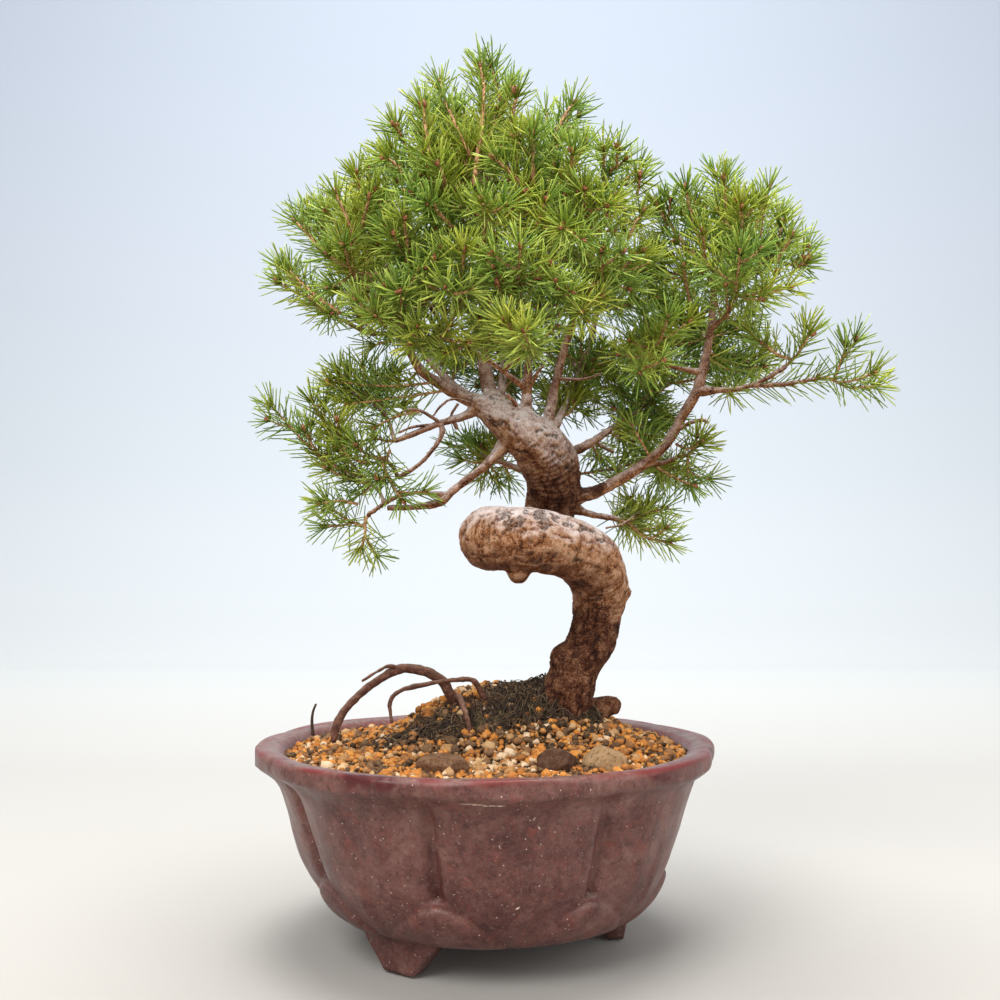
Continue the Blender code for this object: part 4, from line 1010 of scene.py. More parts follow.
def make_trunk(look):
    """The trunk with its knots, its root flare and the stubs of the boughs that leave it."""
    points, radii = smooth_route(TRUNK, TRUNK_STEP)
    tubes = [fine_tube(points, radii * 0.975, TRUNK_SIDES)]
    for seen in KNOTS.values():
        knot_points, knot_radii = smooth_route(seen, 1.5)
        tubes.append(fine_tube(knot_points, knot_radii, KNOT_SIDES))
    nub_points, nub_radii = smooth_route(ROOTS["nub"], 2.0)
    tubes.append(fine_tube(nub_points, nub_radii * 0.96, NUB_SIDES))
    for seen in LIMBS.values():
        limb_points, limb_radii = smooth_route(seen, 2.0)
        if np.linalg.norm(points - limb_points[0], axis=1).min() > STUB_REACH:
            continue
        count = min(len(limb_points), STUB_SAMPLES)
        fade = np.interp(np.arange(count), [0, 6, count - 1], [1.4, 1.06, 0.72])
        tubes.append(fine_tube(limb_points[:count], limb_radii[:count] * fade, STUB_SIDES))
    skin, normals, quads = union_by_voxels("trunk", tubes, TRUNK_VOXEL, TRUNK_SMOOTHING)

    number, away = near_route(skin, points)
    ahead, across, up = side_frames(points)
    run = skin - points[number]
    angle = np.arctan2((run * up[number]).sum(axis=1), (run * across[number]).sum(axis=1))
    along = number * TRUNK_STEP + (run * ahead[number]).sum(axis=1)
    on_trunk = np.clip(1.6 - away / radii[number] * 0.8, 0, 1)
    bark_place = np.column_stack([np.cos(angle) * BARK_ROUND, np.sin(angle) * BARK_ROUND, along * BARK_ALONG])
    swell = 0.85 * LUMPS(skin, 21.0) + 0.60 * LUMPS(skin + 90.0, 8.0) + 0.42 * LUMPS(skin + 33.0, 3.4)
    plates = 1 - np.exp(-np.abs(CRAGS(bark_place, 4.6)) / 0.10)
    scales = 1 - np.exp(-np.abs(LUMPS(bark_place + 31.0, 2.3)) / 0.14)
    # Darker bark low on the trunk and round its collar, partly painted shade; its plates are deeper there
    # too.
    dark_and_shaded = dark_and_shaded_share(skin, points, along)
    wrinkles = wrinkle_share(points, along)
    wave = np.abs(np.sin(along * 1.15 + 2.6 * LUMPS(bark_place, 8.0)))
    marks = mark_share(skin)
    scar = wire_scar(skin)
    edges = np.clip(marks * 2.2, 0, 1) * (1 - 0.25 * np.clip((marks - 0.8) / 0.2, 0, 1))
    lift = swell - 0.1 + (0.32 + 0.75 * dark_and_shaded) * (plates - 0.8) + 0.38 * (scales - 0.7)
    lift += on_trunk * wrinkles * (1.2 * wave - 0.6) - 0.95 * scar - 0.45 * edges
    skin = skin + normals * lift[:, None]
    made = piece_of("trunk_bark", skin, [quads], [look], replaced=["tree_wood"])
    add_tone(made, "relief", np.clip(0.62 * plates + 0.38 * scales - 0.15 * wrinkles * (1 - wave), 0, 1))
    add_tone(made, "dark_and_shaded", dark_and_shaded)
    # The wire's crease and the marks are dark in themselves; the troughs of the wrinkles are darkened as
    # painted shade.
    grooves = scar * 0.95 + edges * 0.92 + 0.7 * wrinkles * (1 - wave) ** 2 * on_trunk
    add_tone(made, "groove", np.clip(grooves, 0, 1))
    # Painted light: from a little above the collar up, the trunk is painted paler against the crown's shade.
    add_tone(made, "upper_painted_light", np.clip((along - along_trunk(points, DARK_COLLAR) - 8.0) / 14.0, 0, 1))
    return made


# Where a wire once bit the coil's nose
WIRE_SCAR = [(484, 507, -50), (491, 514, -58), (492, 532, -60), (494, 552, -54)]
WIRE_HALF = 1.0


def wire_scar(places):
    """How deep in the wire's crease each place is."""
    line = smooth([seen_at(*p) for p in WIRE_SCAR], 1.0)
    return bell(near_route(places, line)[1], WIRE_HALF)


DARK_AND_SHADED_TOP = (600, 604, -6)  # as seen, where the darker bark of the lower trunk ends; its darkness is partly painted shade
DARK_COLLAR = (552, 496, 2)  # and the middle of the dark wrinkled bark round the upper trunk's foot, its darkness partly painted shade
WRINKLED_BEND = (600, 590, -9)
DARK_AND_SHADED_FADE = 12.0
COLLAR_HALF, WRINKLES_HALF, BEND_HALF = 19.0, 24.0, 26.0


def along_trunk(points, seen):
    """How far along the trunk it is nearest to a place as seen."""
    return TRUNK_STEP * np.linalg.norm(points - seen_at(*seen), axis=1).argmin()


def dark_and_shaded_share(skin, points, along):
    """How dark each place of the trunk's skin is made, low on the trunk and round its collar, from 0 to 1:
    darker bark, partly painted shade.
    """
    ragged = 14.0 * LUMPS(skin, 9.0) + 7.0 * CRAGS(skin + 5.0, 4.0)
    low = np.clip((along_trunk(points, DARK_AND_SHADED_TOP) - along + ragged) / DARK_AND_SHADED_FADE, 0, 1)
    collar = bell(along + 0.5 * ragged - along_trunk(points, DARK_COLLAR), COLLAR_HALF)
    return np.clip(low + 0.95 * collar, 0, 1)


def wrinkle_share(points, along):
    """How wrinkled the bark is at each place, from 0 to 1."""
    collar = bell(along - along_trunk(points, DARK_COLLAR), WRINKLES_HALF)
    bend = bell(along - along_trunk(points, WRINKLED_BEND), BEND_HALF)
    return np.clip(collar + 0.35 * bend, 0, 1)


MARKS = [  # dark scars and flaking patches: as seen, and half their width and height in millimetres
    ((505, 515, -60), 3.0, 2.2), ((508, 526, -62), 2.2, 3.4), ((519, 522, -62), 1.8, 3.0),
    ((526, 512, -56), 1.6, 1.4), ((540, 514, -54), 3.4, 2.0), ((546, 523, -58), 2.6, 3.2),
    ((555, 517, -52), 1.8, 1.7), ((566, 524, -46), 1.8, 1.2), ((583, 528, -40), 2.0, 1.3),
    ((592, 530, -34), 1.5, 1.2), ((603, 540, -24), 1.5, 1.4), ((535, 562, -60), 2.8, 1.5),
    ((547, 568, -54), 2.2, 1.4), ((503, 568, -62), 2.4, 1.3), ((576, 560, -42), 2.0, 1.5),
    ((497, 424, -10), 3.4, 1.9), ((552, 436, -14), 2.4, 0.9), ((557, 447, -14), 2.6, 0.9),
    ((563, 456, -14), 2.0, 0.9), ((568, 466, -16), 2.2, 2.2), ((541, 430, -14), 2.0, 0.8),
    ((536, 446, -16), 1.8, 0.8), ((523, 452, -16), 1.8, 0.9), ((600, 640, -20), 2.2, 1.0),
    ((575, 655, -20), 1.6, 1.2), ((580, 585, -30), 3.0, 2.0), ((597, 597, -22), 3.2, 1.8),
]
MARK_DEPTH = 16.0  # how far before and behind its place a mark still shows


def mark_share(skin):
    """How far each place of the trunk's skin is in a scar or a flaking patch, from 0 to 1."""
    share = np.zeros(len(skin))
    ragged = 1 + 1.3 * CRAGS(skin, 2.0) + 0.9 * LUMPS(skin + 11.0, 1.2)
    for seen, half_wide, half_high in MARKS:
        sight = seen_at(*seen) - EYE
        eye_line = unit(sight)
        run = skin - EYE
        deep = run @ eye_line
        aside = run - deep[:, None] * eye_line
        close = np.abs(deep - np.linalg.norm(sight)) < MARK_DEPTH
        high = np.linalg.norm(aside[:, 1:], axis=1)
        spread = (np.abs(aside[:, 0]) / half_wide) ** 2 + (high / half_high) ** 2
        share = np.maximum(share, close * np.clip(1.5 - 1.15 * spread * ragged, 0, 1))
    return share


def limb_roughness(places):
    return 0.34 * CRAGS(places, 2.4) + 0.24 * LUMPS(places, 7.0) + 0.20 * LUMPS(places + 40.0, 1.3)


BOUGH_STEP = 1.6
THICK_BOUGH = 4.0


def make_boughs(look):
    gathered = Gathered()
    for seen in LIMBS.values():
        points, radii = smooth_route(seen, BOUGH_STEP)
        sides = 20 if radii[0] > THICK_BOUGH else 14
        gathered.add(*fine_tube(points, flared(points, radii, 0.35, 7.0) * 0.97, sides, limb_roughness))
    return gathered.piece("boughs", [look])


def twig_roughness(places):
    return 0.22 * CRAGS(places, 1.5) + 0.12 * LUMPS(places, 4.0)


TWIG_SIDES = 8
# The boughs that carry the pegs that fallen needles leave
PEGGED = ("left_hook", "left_low", "lowest_left", "lowest_twig", "right_back", "middle_fork", "arm_low")
PEG_SPACING = 1.5
PEG_HALF = 0.35


def make_twigs(look, twigs):
    gathered = Gathered()
    for points, radii in twigs:
        rows = smooth(np.column_stack([points, radii]), BOUGH_STEP)
        points, radii = rows[:, :3], rows[:, 3]
        gathered.add(*fine_tube(points, flared(points, radii, 0.5, 4.0) * 0.95, TWIG_SIDES, twig_roughness))
    rng = np.random.default_rng(55)
    for seen in BARE_TWIGS:
        points, radii = smooth_route(seen, 1.4)
        gathered.add(*fine_tube(points, radii, TWIG_SIDES, lambda places: 0.16 * CRAGS(places, 1.5)))
        add_pegs(gathered, points, radii, rng)
    for name in PEGGED:
        points, radii = smooth_route(LIMBS[name], BOUGH_STEP)
        add_pegs(gathered, points, radii, rng)
    return gathered.piece("twigs", [look])


def add_pegs(gathered, points, radii, rng):
    """Short pegs round a twig, where needles once grew."""
    ahead, across, up = side_frames(points)
    travelled = travelled_along(points)
    spot = 1.0
    while spot < travelled[-1]:
        k = int(np.searchsorted(travelled, spot)) - 1
        turn = rng.uniform(0, 2 * math.pi)
        out = math.cos(turn) * across[k] + math.sin(turn) * up[k]
        beside = np.cross(out, ahead[k])
        root = points[k] + out * radii[k] * 0.7
        tip = root + (out * 0.85 + ahead[k] * 0.5) * rng.uniform(0.7, 1.3)
        ring = [root + beside * PEG_HALF, root - beside * PEG_HALF, root + ahead[k] * 0.5, tip]
        gathered.add(np.array(ring), triangles=SPIKE_FACES)
        spot += PEG_SPACING * rng.uniform(0.5, 1.5)


def make_roots(look):
    """The roots that arch over the gravel."""
    gathered = Gathered()
    for name, seen in ROOTS.items():
        if name == "nub":
            continue
        points, radii = smooth_route(seen, 1.3)
        gathered.add(*fine_tube(points, radii * 0.95, 14, limb_roughness))
    return gathered.piece("surface_roots", [look])


# The gravel

BED_SIDES, BED_RINGS = 160, 44
BED_BOTTOM = 26.4
BED_SIDE = (  # height and radius, from the middle of its underside up
    (BED_BOTTOM, 12.0), (BED_BOTTOM, 62.0), (29.6, 73.0), (45.4, 84.0), (70.4, 93.0), (90.0, 99.8),
)
BED_SUNK = 1.6  # how far under the gravel's surface it lies


def make_gravel_bed(look):
    """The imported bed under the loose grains, down to the pot's floor."""
    sides = BED_SIDES
    turns = 2 * math.pi * np.arange(sides) / sides
    rings = []
    for height, radius in BED_SIDE:
        rings.append(np.column_stack([radius * np.cos(turns), radius * np.sin(turns),
                                      np.full(sides, height)]))
    for share in np.linspace(1.0, 0.01, BED_RINGS):
        x, y = GRAVEL_EDGE[1] * share * np.cos(turns), GRAVEL_EDGE[1] * share * np.sin(turns)
        z = gravel_heights(x, y) - BED_SUNK - 2.0 * max(0.0, (share - 0.93) / 0.07)
        ring = np.column_stack([x, y, z])
        ring[:, 2] += 0.9 * CRAGS(ring, 3.0) + 0.7 * LUMPS(ring, 6.0)
        rings.append(ring)
    top = float(gravel_heights(0.0, 0.0)) - BED_SUNK
    points = np.vstack([*rings, [(0, 0, BED_BOTTOM)], [(0, 0, top)]])
    quads = rings_faces(len(rings), sides)
    triangles = cap_faces(sides, (len(rings) - 1) * sides, len(points) - 2, len(points) - 1)
    return piece_of("gravel_bed", points, [quads, triangles], [look], slot="gravel_ochre",
                    replaced=["gravel"])


def icosahedron():
    """The points and faces of a ball with twenty faces."""
    golden = (1 + math.sqrt(5)) / 2
    points = np.array([(-1, golden, 0), (1, golden, 0), (-1, -golden, 0), (1, -golden, 0), (0, -1, golden),
                       (0, 1, golden), (0, -1, -golden), (0, 1, -golden), (golden, 0, -1), (golden, 0, 1),
                       (-golden, 0, -1), (-golden, 0, 1)], float)
    faces = np.array([(0, 11, 5), (0, 5, 1), (0, 1, 7), (0, 7, 10), (0, 10, 11), (1, 5, 9), (5, 11, 4),
                      (11, 10, 2), (10, 7, 6), (7, 1, 8), (3, 9, 4), (3, 4, 2), (3, 2, 6), (3, 6, 8),
                      (3, 8, 9), (4, 9, 5), (2, 4, 11), (6, 2, 10), (8, 6, 7), (9, 8, 1)])
    return points / np.linalg.norm(points[0]), faces


def finer_ball(points, faces):
    """A ball's faces split in four, and its new points pushed out to the ball."""
    points = list(points)
    seen, made = {}, []

    def middle(a, b):
        key = (min(a, b), max(a, b))
        if key not in seen:
            seen[key] = len(points)
            points.append(unit(points[a] + points[b]))
        return seen[key]

    for a, b, c in faces:
        ab, bc, ca = middle(a, b), middle(b, c), middle(c, a)
        made += [(a, ab, ca), (b, bc, ab), (c, ca, bc), (ab, bc, ca)]
    return np.array(points), np.array(made)


GRAIN_SPACING = 2.75
ROW_SHARE = 0.87  # how far apart the rows are, as a share of the spacing in a row
GRAINS_ON_TOP = 1700
GRAIN_HALF = 1.55  # half the width of a usual grain
GRAIN_HALVES = (0.80, 3.3)  # and of the smallest and the largest
GRAIN_JITTER = 0.9
TRUNK_LOW = 132.0  # grains keep clear of the trunk below that height
TRUNK_CLEAR = 13.0
PALE_PATCH = ((5.0, -62.0), (17.0, 13.0))  # middle and spread


def make_grains(look, trunk_points):
    """Loose grains in a jittered hexagonal layer, with more of them strewn on top."""
    rng = np.random.default_rng(11)
    ball, faces = icosahedron()
    spots = []
    edge = GRAVEL_EDGE[1]
    for i in range(int(2 * edge / (GRAIN_SPACING * ROW_SHARE))):
        for j in range(int(2 * edge / GRAIN_SPACING)):
            x = (j + 0.5 * (i % 2)) * GRAIN_SPACING - edge
            spots.append((x, i * GRAIN_SPACING * ROW_SHARE - edge))
    spots = np.array(spots) + rng.uniform(-GRAIN_JITTER, GRAIN_JITTER, (len(spots), 2))
    on_top = rng.uniform(-edge, edge, (GRAINS_ON_TOP, 2))
    top_layer = np.concatenate([np.zeros(len(spots)), np.ones(len(on_top))])
    spots = np.vstack([spots, on_top])
    reach = np.linalg.norm(spots, axis=1)
    low_trunk = trunk_points[trunk_points[:, 2] < TRUNK_LOW]
    from_trunk = np.linalg.norm(spots[:, None] - low_trunk[None, :, :2], axis=2).min(axis=1)
    keep = (reach < edge + 0.6) & (from_trunk > TRUNK_CLEAR)
    dark = rootball_share(spots)
    keep &= rng.uniform(0, 1, len(spots)) > dark * 0.70
    spots, top_layer, dark = spots[keep], top_layer[keep], dark[keep]
    count = len(spots)
    size = np.clip(rng.lognormal(math.log(GRAIN_HALF), 0.34, count), *GRAIN_HALVES)
    z = gravel_heights(spots[:, 0], spots[:, 1]) - 0.9 + rng.uniform(-0.5, 0.6, count) + top_layer * 1.5
    z -= 1.2 * np.clip((np.linalg.norm(spots, axis=1) - 93.0) / 7.0, 0, 1)
    middle = np.column_stack([spots, z])
    shape = ball[None] * (1 + rng.uniform(-0.20, 0.20, (count, len(ball), 1)))
    shape = shape * (size[:, None] * rng.uniform(0.66, 1.26, (count, 3)))[:, None]
    spin = rng.normal(size=(count, 3, 3))
    turned = np.array([np.linalg.qr(m)[0] for m in spin])
    turned *= np.sign(np.linalg.det(turned))[:, None, None]
    shape = np.einsum("nij,nkj->nki", turned, shape)
    points = (shape + middle[:, None]).reshape(-1, 3)
    triangles = (faces[None] + (np.arange(count) * len(ball))[:, None, None]).reshape(-1, 3)
    tone = rng.uniform(0, 1, count)
    aside, behind = (((spots - PALE_PATCH[0]) / PALE_PATCH[1]) ** 2).T
    pale_patch = np.exp(-aside - behind)
    tone = np.where(rng.uniform(0, 1, count) < pale_patch * 0.75, rng.uniform(0.86, 1.0, count), tone)
    tone = np.where(rng.uniform(0, 1, count) < dark * 0.45, tone * 0.3, tone)
    made = piece_of("gravel_grains", points, [triangles], [look], smooth_shade=False, slot="gravel_ochre")
    add_tone(made, "tone", np.repeat(tone, len(ball)))
    return made


# Where matted roots show: the middles of three ovals, and half their widths and depths
ROOTBALL = [((-16.0, -17.5), (40.0, 15.5)), ((24.0, -6.0), (24.0, 21.0)), ((48.0, -4.0), (13.0, 11.0))]
RIDGE_LEFT, RIDGE_FADE = -4.0, 10.0  # right of here the mat goes all the way back
BACK_EDGE, FRONT_EDGE, EDGE_FADE = -9.0, -35.0, 7.0  # and left of it only between these


def rootball_share(spots):
    """How much of the ground is dark matted roots and moss at each spot, from 0 to 1."""
    share = np.zeros(len(spots))
    for middle, spread in ROOTBALL:
        away = (((spots - middle) / spread) ** 2).sum(axis=1)
        share = np.maximum(share, np.clip(1.5 - away * 1.3, 0, 1))
    ridge = np.clip((spots[:, 0] - RIDGE_LEFT) / RIDGE_FADE, 0, 1)
    share *= np.maximum(ridge, np.clip((BACK_EDGE - spots[:, 1]) / EDGE_FADE, 0, 1))
    share *= np.clip((spots[:, 1] - FRONT_EDGE) / EDGE_FADE, 0, 1)
    ragged = LUMPS(np.column_stack([spots, np.zeros(len(spots))]), 9.0)
    return np.clip(share + 0.45 * ragged * (share > 0), 0, 1)


CLIMB, CLIMB_RAGGED = 4.5, 3.5
CLIMB_FROM, CLIMB_FADE = 11.0, 7.0  # away from the foot's middle line


def foot_mound(spots, foot):
    """How far the matted roots climb at each spot up the foot of the trunk, given where the foot runs."""
    away = np.linalg.norm(spots[:, None] - foot[None], axis=2).min(axis=1)
    ragged = LUMPS(np.column_stack([spots, np.full(len(spots), 40.0)]), 6.0)
    return (CLIMB + CLIMB_RAGGED * ragged) * bell(np.maximum(away - CLIMB_FROM, 0), CLIMB_FADE)


MAT_LEFT, MAT_RIGHT = -64.0, 66.0
MAT_FRONT, MAT_BACK = -44.0, 24.0
MAT_STEP = 1.0
MAT_THICK = 5.0
MAT_SUNK = 4.0  # how far under the gravel it lies where nothing of it shows


def make_rootball(look, foot):
    """Matted dark roots and old soil that show at the trunk's foot, as a lumpy skin over the gravel bed."""
    xs = np.arange(MAT_LEFT, MAT_RIGHT, MAT_STEP)
    ys = np.arange(MAT_FRONT, MAT_BACK, MAT_STEP)
    x, y = np.meshgrid(xs, ys)
    flat = np.column_stack([x.ravel(), y.ravel()])
    share = rootball_share(flat)
    place = np.column_stack([flat, np.zeros(len(flat))])
    lumps = 2.6 * LUMPS(place + 17.0, 7.0) + 1.9 * CRAGS(place, 3.0) + 1.3 * CRAGS(place + 9.0, 1.6)
    z = gravel_heights(flat[:, 0], flat[:, 1]) - MAT_SUNK + share * (3.4 + lumps + foot_mound(flat, foot))
    top = np.column_stack([flat, z])
    under = np.column_stack([flat, z - MAT_THICK])
    quads = rings_faces(len(ys), len(xs), False)
    numbers = np.arange(len(top)).reshape(len(ys), len(xs))
    border = np.concatenate([numbers[0], numbers[1:, -1], numbers[-1, -2::-1], numbers[-2:0:-1, 0]])
    beside = np.roll(border, -1)
    count = len(top)
    skirt = np.stack([beside, border, border + count, beside + count], axis=1)
    faces = np.vstack([quads, quads[:, ::-1] + count, skirt])
    return piece_of("root_mat", np.vstack([top, under]), [faces], [look], slot="bark")


HAIRS, TUFTS = 800, 1350
HAIR_SHARE, TUFT_SHARE = 0.25, 0.3  # the least share of mat that each grows on
STRAGGLE_LOW, STRAGGLE_HIGH = (-62.0, -42.0), (64.0, 18.0)
HAIR_LENGTHS, HAIR_RADII, HAIR_TIP = (5.0, 17.0), (0.22, 0.46), 0.14
HAIR_BENDS = 4
TUFT_HALF, TUFT_LENGTHS = 0.28, (1.4, 3.4)
UPRIGHT_ROOT = [(313, 735, -2), (312, 722, -2), (313, 712, -2), (316, 704, -3)]


def mat_spots(rng, count, least):
    """Random spots on the mat, one after another."""
    made = 0
    while made < count:
        spot = rng.uniform(STRAGGLE_LOW, STRAGGLE_HIGH)
        if rootball_share(spot[None])[0] >= least:
            made += 1
            yield spot


def mat_height(spot, foot):
    """How high the ground lies at one spot of the mat."""
    spot = np.asarray(spot, float)[None, :2]
    climb = rootball_share(spot)[0] * foot_mound(spot, foot)[0]
    return float(gravel_heights(spot[:, 0], spot[:, 1])[0] + climb)


def make_root_hairs(look, foot):
    """Fine roots that straggle over the mat, and tufts of moss."""
    rng = np.random.default_rng(21)
    gathered = Gathered()
    for spot in mat_spots(rng, HAIRS, HAIR_SHARE):
        start = np.array([*spot, mat_height(spot, foot) - 0.5])
        heading = rng.uniform(0, 2 * math.pi)
        length = rng.uniform(*HAIR_LENGTHS)
        route = [start]
        for _ in range(HAIR_BENDS):
            heading += rng.uniform(-0.7, 0.7)
            step = np.array([math.cos(heading), math.sin(heading), 0.0]) * length / HAIR_BENDS
            spot = route[-1] + step
            spot[2] = mat_height(spot, foot) + rng.uniform(-0.8, 2.8)
            route.append(spot)
        rows = smooth(route, length / 6)
        radii = np.linspace(rng.uniform(*HAIR_RADII), HAIR_TIP, len(rows))
        gathered.add(*fine_tube(rows, radii, 4), tone=rng.uniform(0, 0.95) ** 1.6)
    for spot in mat_spots(rng, TUFTS, TUFT_SHARE):
        base = np.array([*spot, mat_height(spot, foot) - 0.6])
        lean = np.array([*rng.normal(0, 0.5, 2), 1.0])
        tip = base + unit(lean) * rng.uniform(*TUFT_LENGTHS)
        side = unit(np.cross(lean, rng.normal(size=3))) * TUFT_HALF
        other = unit(np.cross(lean, side)) * TUFT_HALF
        ring = np.array([base + side, base - side * 0.5 + other, base - side * 0.5 - other, tip])
        gathered.add(ring, triangles=SPIKE_FACES, tone=rng.uniform(0.1, 1.0))
    stub = smooth([seen_at(*p) for p in UPRIGHT_ROOT], 1.2)
    gathered.add(*fine_tube(stub, np.linspace(1.0, 0.55, len(stub)), 7), tone=0.25)
    return gathered.piece("root_hairs_and_moss", [look], slot="bark")


def make_pebbles(look):
    ball, faces = icosahedron()
    for _ in range(3):
        ball, faces = finer_ball(ball, faces)
    for number, (name, (middle, half, pale)) in enumerate(PEBBLES.items()):
        x, y, _ = seen_at(*middle)
        centre = np.array([x, y, gravel_heights(x, y) + 0.35 * half[2]])
        flats = np.random.default_rng(60 + number).normal(size=(PEBBLE_FLATS, 3))
        flats /= np.linalg.norm(flats, axis=1)[:, None]
        shape = ball.copy()
        for flat in flats:
            over = np.clip(shape @ flat - 0.80, 0, None)
            shape -= over[:, None] * flat
        lumps = 0.05 * LUMPS(shape * 10 + 30 * number, 5.0)
        crags = 0.02 * CRAGS(shape * 10, 1.6)
        shape *= (1 + lumps + crags)[:, None]
        shape = shape * half * 1.06
        made = piece_of(name + "_stone", shape + centre, [faces], [look], slot="pebble_grey", replaced=[name])
        add_tone(made, "tone", np.full(len(shape), pale))


# The needles

NEEDLE_PROFILE = ((0.0, 0.90), (0.88, 0.84))  # how far along, and how much of its width it has there
BUD_PROFILE = ((-0.1, 0.35), (0.25, 0.62), (0.6, 0.55), (0.85, 0.3))
BUD_SIDES = 6


def needle_points(roots, ways, lengths, widths, rng):
    """Points and faces of many needles at once: three-sided, nearly even in width, and pointed."""
    count = len(roots)
    side = np.cross(ways, rng.normal(size=(count, 3)))
    side /= np.linalg.norm(side, axis=1)[:, None]
    other = np.cross(ways, side)
    sag = np.cross(side, ways) * rng.uniform(-0.06, 0.09, count)[:, None]
    rings = []
    for share, thick in NEEDLE_PROFILE:
        middle = roots + ways * (lengths * share)[:, None] + sag * (lengths * share**2)[:, None]
        for corner in range(3):
            turn = 2 * math.pi * corner / 3
            reach = widths * 0.5 * thick
            aside, beyond = reach * math.cos(turn), reach * math.sin(turn)
            rings.append(middle + side * aside[:, None] + other * beyond[:, None])
    rings.append(roots + ways * lengths[:, None] + sag * lengths[:, None])
    points = np.stack(rings, axis=1).reshape(-1, 3)
    step = len(rings)
    faces = [(0, 2, 1)]
    for k in range(3):
        a, b = k, (k + 1) % 3
        faces += [(a, b, b + 3), (a, b + 3, a + 3)]
    faces += [(3, 4, 6), (4, 5, 6), (5, 3, 6)]
    triangles = (np.array(faces)[None] + (np.arange(count) * step)[:, None, None]).reshape(-1, 3)
    return points, triangles, step


def bud_points(tip, way, size, rng):
    """A small pointed bud."""
    side = unit(np.cross(way, rng.normal(size=3)))
    other = np.cross(way, side)
    turns = 2 * math.pi * np.arange(BUD_SIDES) / BUD_SIDES
    spokes = np.outer(np.cos(turns), side) + np.outer(np.sin(turns), other)
    rings = [tip + way * share * size + spokes * thick * size * 0.5 for share, thick in BUD_PROFILE]
    points = np.vstack([*rings, [tip - way * 0.15 * size], [tip + way * size]])
    quads = rings_faces(len(rings), BUD_SIDES)
    triangles = cap_faces(BUD_SIDES, (len(rings) - 1) * BUD_SIDES, len(points) - 2, len(points) - 1)
    return points, quads, triangles


NEEDLE_LOOK, SHOOT_LOOK, BUD_LOOK = range(3)
NEEDLES_PER_MM = 1.20
TIP_NEEDLES = 12
NEEDLE_WIDTHS = (0.66, 0.88)
NEEDLE_LEAN, LEAN_SPREAD = 54, 6.5  # degrees off the shoot
TIP_LEANS = (14, 58)
NEEDLE_TONE, TONE_SPREAD = 0.53, 0.17
BARE_BEYOND = 52.0  # needles fall from a shoot that far behind its tip
GOLDEN_TURN = math.pi * (3 - math.sqrt(5))
ROUTE_STEP, STEM_STEP = 1.5, 2.6
STEM_RADII = (0.90, 0.62)
STEM_SIDES = 5
WOOD_CLEAR = 0.3


def dress_shoot(gathered, route, rng, bright=0.0, thick=1.0, bud=3.0, untidy=1.0):
    """A shoot with needles all round it, a burst of them at its tip, and buds."""
    route = smooth(route, ROUTE_STEP)
    travelled = travelled_along(route)
    length = travelled[-1]
    stem = smooth(route, STEM_STEP)
    radii = np.linspace(*STEM_RADII, len(stem)) * thick
    gathered.add(*fine_tube(stem, radii, STEM_SIDES), look=SHOOT_LOOK, tone=0.5)
    ahead, across, up = side_frames(route)
    leafy = min(length, BARE_BEYOND * rng.uniform(0.8, 1.1))
    count = int(leafy * NEEDLES_PER_MM)
    spots = length - leafy + leafy * (np.arange(count) + rng.uniform(0, 1, count)) / count
    spots = np.concatenate([spots, length - rng.uniform(0, 1.2, TIP_NEEDLES)])
    share = (spots - length + leafy) / leafy
    turn = GOLDEN_TURN * np.arange(len(spots)) + rng.uniform(-0.3, 0.3, len(spots)) + rng.uniform(0, 6)

    def at(values):
        return np.column_stack([np.interp(spots, travelled, values[:, k]) for k in range(3)])

    middle, forward, side, other = at(route), at(ahead), at(across), at(up)
    out = np.cos(turn)[:, None] * side + np.sin(turn)[:, None] * other
    lean = np.radians(rng.normal(NEEDLE_LEAN, LEAN_SPREAD * untidy, len(spots))) * (1 - 0.15 * share**3)
    lean[-TIP_NEEDLES:] = np.radians(rng.uniform(*TIP_LEANS, TIP_NEEDLES))
    ways = np.cos(lean)[:, None] * forward + np.sin(lean)[:, None] * out
    ways += rng.normal(0, 0.055 * untidy, ways.shape) + np.array([0, 0, 0.10])
    ways /= np.linalg.norm(ways, axis=1)[:, None]
    lengths = NEEDLE_LENGTH * rng.uniform(0.84, 1.14, len(spots))
    lengths[-TIP_NEEDLES:] *= rng.uniform(0.72, 1.0, TIP_NEEDLES)
    widths = rng.uniform(*NEEDLE_WIDTHS, len(spots))
    tips = middle + ways * lengths[:, None]
    keep = ((tips > OUTLINE_LOW) & (tips < OUTLINE_HIGH)).all(axis=1) & clear_of_wood(tips)
    middle, ways, lengths, widths = (v[keep] for v in (middle + out * 0.35, ways, lengths, widths))
    if not len(lengths):
        return
    points, triangles, step = needle_points(middle, ways, lengths, widths, rng)
    tone = np.clip(rng.normal(NEEDLE_TONE, TONE_SPREAD, len(lengths)) + bright, 0, 1)
    gathered.add(points, (), triangles, look=NEEDLE_LOOK, tone=np.repeat(tone, step))
    for number in range(int(rng.integers(1, 4))):
        way = ahead[-1] + (rng.normal(0, 0.35, 3) if number else 0)
        tip = route[-1] + ahead[-1] * 0.3 + (rng.normal(0, 0.5, 3) if number else 0)
        gathered.add(*bud_points(tip, unit(way), bud * rng.uniform(0.82, 1.15), rng), look=BUD_LOOK, tone=0.5)


def clear_of_wood(places):
    """Whether each place is outside the trunk and the thick boughs."""
    clear = np.ones(len(places), bool)
    for points, radii in (smooth_route(TRUNK, 6.0), smooth_route(LIMBS["right"], 6.0)):
        gaps = np.linalg.norm(places[:, None] - points[None], axis=2) - radii[None] - WOOD_CLEAR
        clear &= gaps.min(axis=1) > 0
    return clear


